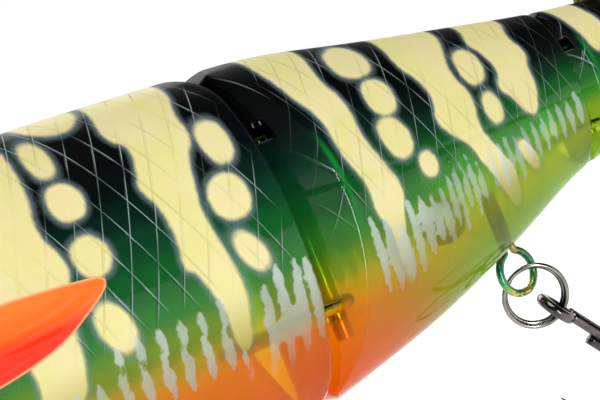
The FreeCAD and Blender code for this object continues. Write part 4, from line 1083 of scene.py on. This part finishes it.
def wire_loop(centre, loop_r, wire_r, legs, direction):
    """A closed eye of wire with two legs side by side, bent out of one length."""
    lead_in = np.array((0, 0, 1.0) if direction == "Z" else (1.0, 0, 0))
    across = np.array((1.0, 0, 0) if direction == "Z" else (0, 0, -1.0))
    centre = np.array(centre, float)
    spread = wire_r * 1.25
    open_angle = math.degrees(math.asin(spread / loop_r)) + 5
    ring = arc(centre, loop_r, 90 + open_angle, 450 - open_angle, 60, across, lead_in)
    neck = loop_r * 1.25
    left = [centre + across * -spread + lead_in * (neck + legs * t) for t in np.linspace(1, 0, 8)]
    right = [centre + across * spread + lead_in * (neck + legs * t) for t in np.linspace(0, 1, 8)]
    path, radii = dome_ends(np.vstack([left, ring, right]), wire_r)
    return tube(path, radii)


TIE_R, TIE_WIRE, TIE_LEGS = 2.3, 0.6, 9.0
HANGER_R, HANGER_WIRE, HANGER_LEGS = 2.9, 0.55, 7.0
HANGERS = {"front": (71.0, 0.0, -23.1), "rear": (165.8, 0.0, -18.5)}

points, faces = wire_loop((0, 0, 0), TIE_R, TIE_WIRE, TIE_LEGS, "X")
make_piece("line_tie_wire", points, faces, "front", steel, ["line_tie"])
for word, body in (("front", "front"), ("rear", "middle")):
    points, faces = wire_loop(HANGERS[word], HANGER_R, HANGER_WIRE, HANGER_LEGS, "Z")
    make_piece(f"{word}_hanger_wire", points, faces, body, sprayed, [f"{word}_hook_hanger"])

# The split ring's own directions: down its hang, across it, and its normal.
RING_R, RING_WIRE, RING_DROP, RING_LEAN, RING_TILT = 4.1, 0.64, 4.2, 20.0, -36.0
lean, tilt = math.radians(RING_LEAN), math.radians(RING_TILT)
HANG = np.array((math.sin(lean), 0, -math.cos(lean)))
LEVEL = np.array((math.cos(lean), 0, math.sin(lean)))
ACROSS = LEVEL * math.cos(tilt) + np.array((0, 1, 0)) * math.sin(tilt)
NORMAL = np.cross(HANG, ACROSS)
if NORMAL[1] > 0:
    NORMAL = -NORMAL


def ring_shape(centre):
    """Two close turns of wire; each end is cut square and lies against the other turn."""
    turns, steps = 1.92, 150
    turn = np.linspace(0, turns * 2 * math.pi, steps) + math.radians(200)
    climb = np.linspace(-1, 1, steps)
    # the turns lie side by side except where the wire crosses over
    rise = np.sign(climb) * ease(0.0, 0.22, np.abs(climb)) * RING_WIRE * 0.48
    reach = (RING_R + 0.16 * np.sign(climb) * ease(0.0, 0.22, np.abs(climb)))[:, None]
    path = centre + reach * (np.outer(np.cos(turn), HANG) + np.outer(np.sin(turn), ACROSS))
    path = path + np.outer(rise, NORMAL)
    return tube(path, RING_WIRE * 0.5, around=14)


for word in ("front", "rear"):
    centre = np.array(HANGERS[word]) + HANG * RING_DROP
    points, faces = ring_shape(centre)
    make_piece(f"{word}_split_ring", points, faces, f"{word}_ring", nickel,
               [f"split_ring_{word}"])

HOOK_WIRE, HOOK_EYE_R, HOOK_OFFSET, HOOK_LEAN = 0.75, 2.25, 3.5, 39.0
SHANK, BEND_R, POINT_LENGTH, POINT_TIP, POINT_LEAN = 22.0, 4.6, 11.0, 3.2, 0.18


def hook_place(word):
    """The eye's centre and the hook's own axes: X across the eye's plane, Z up the shank."""
    level = np.cross(NORMAL, HANG)
    if level[0] < 0:
        level = -level
    swing = math.radians(HOOK_LEAN - RING_LEAN)
    shank = HANG * math.cos(swing) + level * math.sin(swing)
    eye = np.array(HANGERS[word]) + HANG * RING_DROP + shank * HOOK_OFFSET
    up = -shank
    x_axis = NORMAL - up * (NORMAL @ up)
    x_axis /= np.linalg.norm(x_axis)
    return eye, np.stack([x_axis, np.cross(up, x_axis), up], axis=1)


def hook_arm(angle, start, inner):
    """One arm in the hook's own frame: shank, bend, then a forged point with a barb."""
    low = -SHANK
    out = inner + 2 * BEND_R
    down = [(inner, 0, z) for z in np.linspace(start, low, 22)[:-1]]
    bend = [(inner + BEND_R - BEND_R * math.cos(t), 0, low - BEND_R * math.sin(t))
            for t in np.linspace(0, math.pi, 36)]
    tip = low + POINT_LENGTH + POINT_TIP
    rise = [(out, 0, z) for z in np.linspace(low, tip, 30)[1:]]
    path = np.array(down + bend + rise)
    radii = np.full(len(path), HOOK_WIRE)
    on_point = np.zeros(len(path), bool)
    on_point[-len(rise):] = True
    left = np.clip((tip - path[:, 2]) / 6.0, 0, 1)
    radii[on_point] = HOOK_WIRE * (0.05 + 0.95 * left[on_point] ** 0.75)
    # the point leans in a little, and the bend is forged flat
    lean_in = np.where(on_point, ((path[:, 2] - low) / POINT_LENGTH).clip(0, 2) ** 2, 0)
    path[:, 0] -= POINT_LEAN * lean_in
    forged = np.zeros(len(path))
    forged[len(down):len(down) + len(bend)] = 0.22 * np.sin(np.linspace(0, math.pi, len(bend)))
    bar = tube(path, radii, around=14, flatten=(np.array((0.0, 1.0, 0.0)), forged))
    # barb: a sliver raised on the inside of the point
    barb_z = tip - 4.6
    inside = out - POINT_LEAN * 1.3 - HOOK_WIRE * 0.55
    barb = [(inside + 0.15, 0, barb_z + 2.6), (inside - 0.1, 0, barb_z + 1.3), (inside - 0.55, 0, barb_z)]
    sliver = tube(np.array(barb), np.array([0.10, 0.26, 0.07]), around=8)
    c, s = math.cos(math.radians(angle)), math.sin(math.radians(angle))
    turn = np.array([[c, -s, 0], [s, c, 0], [0, 0, 1]])
    points, faces = together(bar, sliver)
    return points @ turn.T, faces


def hook_eye():
    """The eye, bent round until the wire meets the shank again."""
    ring = arc((0, 0, 0), HOOK_EYE_R, -78, 258, 64)
    path, radii = dome_ends(ring, HOOK_WIRE, 4)
    return tube(path, radii, around=14)


def braze():
    """Solder that fills the grooves between the three arms."""
    zs = np.linspace(-7.0, -SHANK + 1.5, 14)
    path = np.stack([0 * zs, 0 * zs - 0.1, zs], -1)
    radii = 0.62 + 0.05 * np.sin(zs * 1.7)
    path, _ = dome_ends(path, 0.5)
    radii = np.concatenate([np.linspace(0.1, 0.55, 4), radii, np.linspace(0.55, 0.1, 4)])
    return tube(path, radii, around=14)


for word in ("front", "rear"):
    eye, turn = hook_place(word)
    arms = [hook_arm(angle, -HOOK_EYE_R + 0.3, HOOK_WIRE) for angle in (150, 30)]
    double = together(hook_eye(), *arms)
    single = together(hook_arm(270, -HOOK_EYE_R - 4, HOOK_WIRE * 1.36), braze())
    for kind, (points, faces) in (("double", double), ("single", single)):
        make_piece(f"{word}_treble_{kind}_wire", points @ turn.T + eye, faces, f"{word}_hook", black_nickel,
                   [f"treble_{word}_{kind}"])


# ---------------------------------------------------------------- soft fins


def fin_sheet(root, tip, steps_out, steps_along, half_at, rays, sway=0.0):
    """A closed soft sheet between a root line and a tip line, with rays pressed into both faces."""
    root, tip = np.array(root, float), np.array(tip, float)
    along = np.linspace(0, 1, steps_along)

    def line(points):
        run = np.concatenate([[0], np.cumsum(np.linalg.norm(np.diff(points, axis=0), axis=1))])
        return np.stack([hermite(run, v, spline_slopes(run, v), along * run[-1]) for v in points.T], -1)

    near, far = line(root), line(tip)
    out = np.linspace(0, 1, steps_out)
    flat = near[None] + (far - near)[None] * out[:, None, None]
    wave = np.cos(along * rays * 2 * math.pi)[None, :]
    rim = np.minimum(np.minimum(along, 1 - along)[None, :] * 14, 1)
    rim = rim * np.minimum((1 - out)[:, None] * 10 + 0.35, 1)
    rayed = 0.62 + 0.26 * wave * ease(0.08, 0.3, out)[:, None] + 0.12
    half = half_at(out)[:, None] * rayed * (0.4 + 0.6 * rim)
    bend = sway * np.sin(out * math.pi)[:, None] * np.sin(along * math.pi * 2)[None, :]
    front = np.stack([flat[..., 0], -half + bend, flat[..., 1]], -1).reshape(-1, 3)
    back = np.stack([flat[..., 0], half + bend, flat[..., 1]], -1).reshape(-1, 3)
    index = np.arange(steps_out * steps_along).reshape(steps_out, steps_along)
    quads = grid_quads(index).tolist()
    count = len(front)
    faces = quads + [[v + count for v in q[::-1]] for q in quads]
    faces += closing_walls(open_edges(quads), count)
    fields = {
        "out": np.tile(np.repeat(out, steps_along), 2),
        "ray": np.tile(np.tile(0.5 - 0.5 * np.cos(along * rays * 2 * math.pi), steps_out), 2),
    }
    return np.vstack([front, back]), faces, fields


FIN_HALF = 0.7
# the tail: where its root is, half the root's height, half its spread, its tips and its fork
ROOT_X, ROOT_Z, ROOT_HALF, SPREAD, TAIL_TIP_X, FORK = 228.0, 1.8, 3.4, 17.0, 263.0, 11.0


def add_fin(name, root, tip, steps, rays, body, node, half_at, sway=0.0):
    """A soft fin in place of its node."""
    points, faces, fields = fin_sheet(root, tip, *steps, half_at, rays, sway)
    make_piece(name, points, faces, body, soft_plastic, [node], fields=fields)


def thinning(low):
    """Half thickness that falls from root to tip, down to a share of the root's."""
    return lambda out: FIN_HALF * (1 - (1 - low) * ease(0.15, 1.0, out))


add_fin(
    "tail_fin_soft",
    [(ROOT_X, ROOT_Z - ROOT_HALF), (ROOT_X, ROOT_Z - 1), (ROOT_X, ROOT_Z + 1), (ROOT_X, ROOT_Z + ROOT_HALF)],
    [(TAIL_TIP_X - 9, ROOT_Z - SPREAD * 0.86), (TAIL_TIP_X - 0.4, ROOT_Z - SPREAD * 0.98),
     (TAIL_TIP_X - 3.4, ROOT_Z - SPREAD * 0.55), (TAIL_TIP_X - FORK, ROOT_Z),
     (TAIL_TIP_X - 3.4, ROOT_Z + SPREAD * 0.55), (TAIL_TIP_X - 0.4, ROOT_Z + SPREAD * 0.98),
     (TAIL_TIP_X - 9, ROOT_Z + SPREAD * 0.86)],
    (60, 180), 19, "rear", "tail_fin", thinning(0.35), 0.5,
)
add_fin(
    "dorsal_fin_soft",
    [(194, 7.2), (202, 7.2), (210, 7.2)],
    [(194.6, 14.0), (197, 18.4), (202, 21.0), (208.5, 19.4), (211.6, 14.2)],
    (44, 100), 9, "rear", "dorsal_fin", thinning(0.4), 0.15,
)
add_fin(
    "anal_fin_soft",
    [(198, -4.2), (205.5, -4.2), (213, -4.2)],
    [(198.4, -9.6), (201, -14.0), (206, -16.2), (211.6, -14.8), (214.6, -10.0)],
    (44, 100), 8, "rear", "anal_fin", thinning(0.4), 0.15,
)


# ---------------------------------------------------------------- finishes of the frame's own nodes

CARRIED = {
    "shell": (shell_clear, "painted_shell"),
    "joint_eye": (steel, "stainless_wire"),
    "hinge_pin": (steel, "stainless_wire"),
    "tail_pin": (steel, "stainless_wire"),
    "weight": (lead, "weight_metal"),
    "rattle": (nickel, "steel_ball"),
    "iris": (iris, "iris_foil"),
    "lens": (lens, "clear_lens"),
}
for name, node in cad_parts.items():
    for word, (finish, slot_name) in CARRIED.items():
        if word in name:
            node.data.materials.clear()
            node.data.materials.append(finish)
            if word != "shell":
                node.data.polygons.foreach_set("use_smooth", np.full(len(node.data.polygons), True))


# ---------------------------------------------------------------- floor, light and camera

FLOOR_HALF, FLOOR_BELOW = 6.0, 0.030
floor_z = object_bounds()[0].z - FLOOR_BELOW
corners = [(x * FLOOR_HALF, y * FLOOR_HALF, floor_z) for x, y in ((-1, -1), (1, -1), (1, 1), (-1, 1))]
floor_mesh = bpy.data.meshes.new("paper_floor")
floor_mesh.from_pydata(corners, [], [(0, 1, 2, 3)])
floor_mesh.materials.append(make_floor())
floor = bpy.data.objects.new("paper_floor", floor_mesh)
scene.collection.objects.link(floor)

scene.world = bpy.data.worlds.new("studio")
sky = Nodes(scene.world, "ShaderNodeOutputWorld")
toward = sky.node("ShaderNodeSeparateXYZ", Vector=sky.node("ShaderNodeTexCoord").outputs["Generated"])
# a white paper sweep behind the object, a dim room in front of it and overhead
sweep = sky.span(toward.outputs["Y"], -0.2, 0.5, 0.09, 1.0)
height = sky.span(toward.outputs["Z"], 0.24, 0.45, 1.0, 0.30)
# the paper itself is white wherever it is seen directly
seen = sky.node("ShaderNodeLightPath").outputs["Is Camera Ray"]
level = sky.math("MAXIMUM", sky.math("MULTIPLY", sweep, height), seen)
sky.done(sky.node("ShaderNodeBackground", Color=(255, 255, 255), Strength=level).outputs[0])


def soft_light(name, spot, aim, size_x, size_y, power):
    """A soft panel that faces a point, all in metres."""
    data = bpy.data.lights.new(name, "AREA")
    data.shape = "RECTANGLE"
    data.size, data.size_y = size_x, size_y
    data.energy = power
    lamp = bpy.data.objects.new(name, data)
    scene.collection.objects.link(lamp)
    lamp.location = spot
    lamp.rotation_mode = "QUATERNION"
    lamp.rotation_quaternion = (Vector(aim) - Vector(spot)).to_track_quat("-Z", "Y")
    return lamp


middle = Vector((0.13, 0, 0))
soft_light("key", (0.0, -0.45, 0.85), middle, 0.8, 0.6, 7.0)
soft_light("back", (0.35, 0.75, 0.75), middle, 0.9, 0.6, 6.5)
strip = soft_light("strip", (0.09, -0.26, -0.03), middle, 0.025, 0.12, 0.30)
strip.visible_camera = False

# The camera: direction it looks along, its roll, the point it looks at and how far off it is.
CAM_AZ, CAM_EL, CAM_ROLL, CAM_FAR = 0.5947, 0.0267, -0.3799, 183.56
CAM_AIM, CAM_LENS = np.array((137.75, 0.0, 1.457)), 90.17
level_x, level_y = math.sin(CAM_AZ) * math.cos(CAM_EL), math.cos(CAM_AZ) * math.cos(CAM_EL)
forward = np.array((level_x, level_y, -math.sin(CAM_EL)))
right = np.cross(forward, (0, 0, 1.0))
right /= np.linalg.norm(right)
up = np.cross(right, forward)
turned_right = math.cos(CAM_ROLL) * right + math.sin(CAM_ROLL) * up
turned_up = -math.sin(CAM_ROLL) * right + math.cos(CAM_ROLL) * up
matrix = np.eye(4)
matrix[:3, :3] = np.stack([turned_right, turned_up, -forward], 1)
matrix[:3, 3] = (CAM_AIM - forward * CAM_FAR) * MM
camera_data = bpy.data.cameras.new("camera")
camera_data.sensor_width, camera_data.lens = 36.0, CAM_LENS
camera_data.clip_start, camera_data.clip_end = 0.005, 20.0
camera = bpy.data.objects.new("camera", camera_data)
scene.collection.objects.link(camera)
camera.matrix_world = Matrix(matrix.tolist())
scene.camera = camera
scene.view_settings.view_transform = "Standard"
scene.cycles.transparent_max_bounces = 32
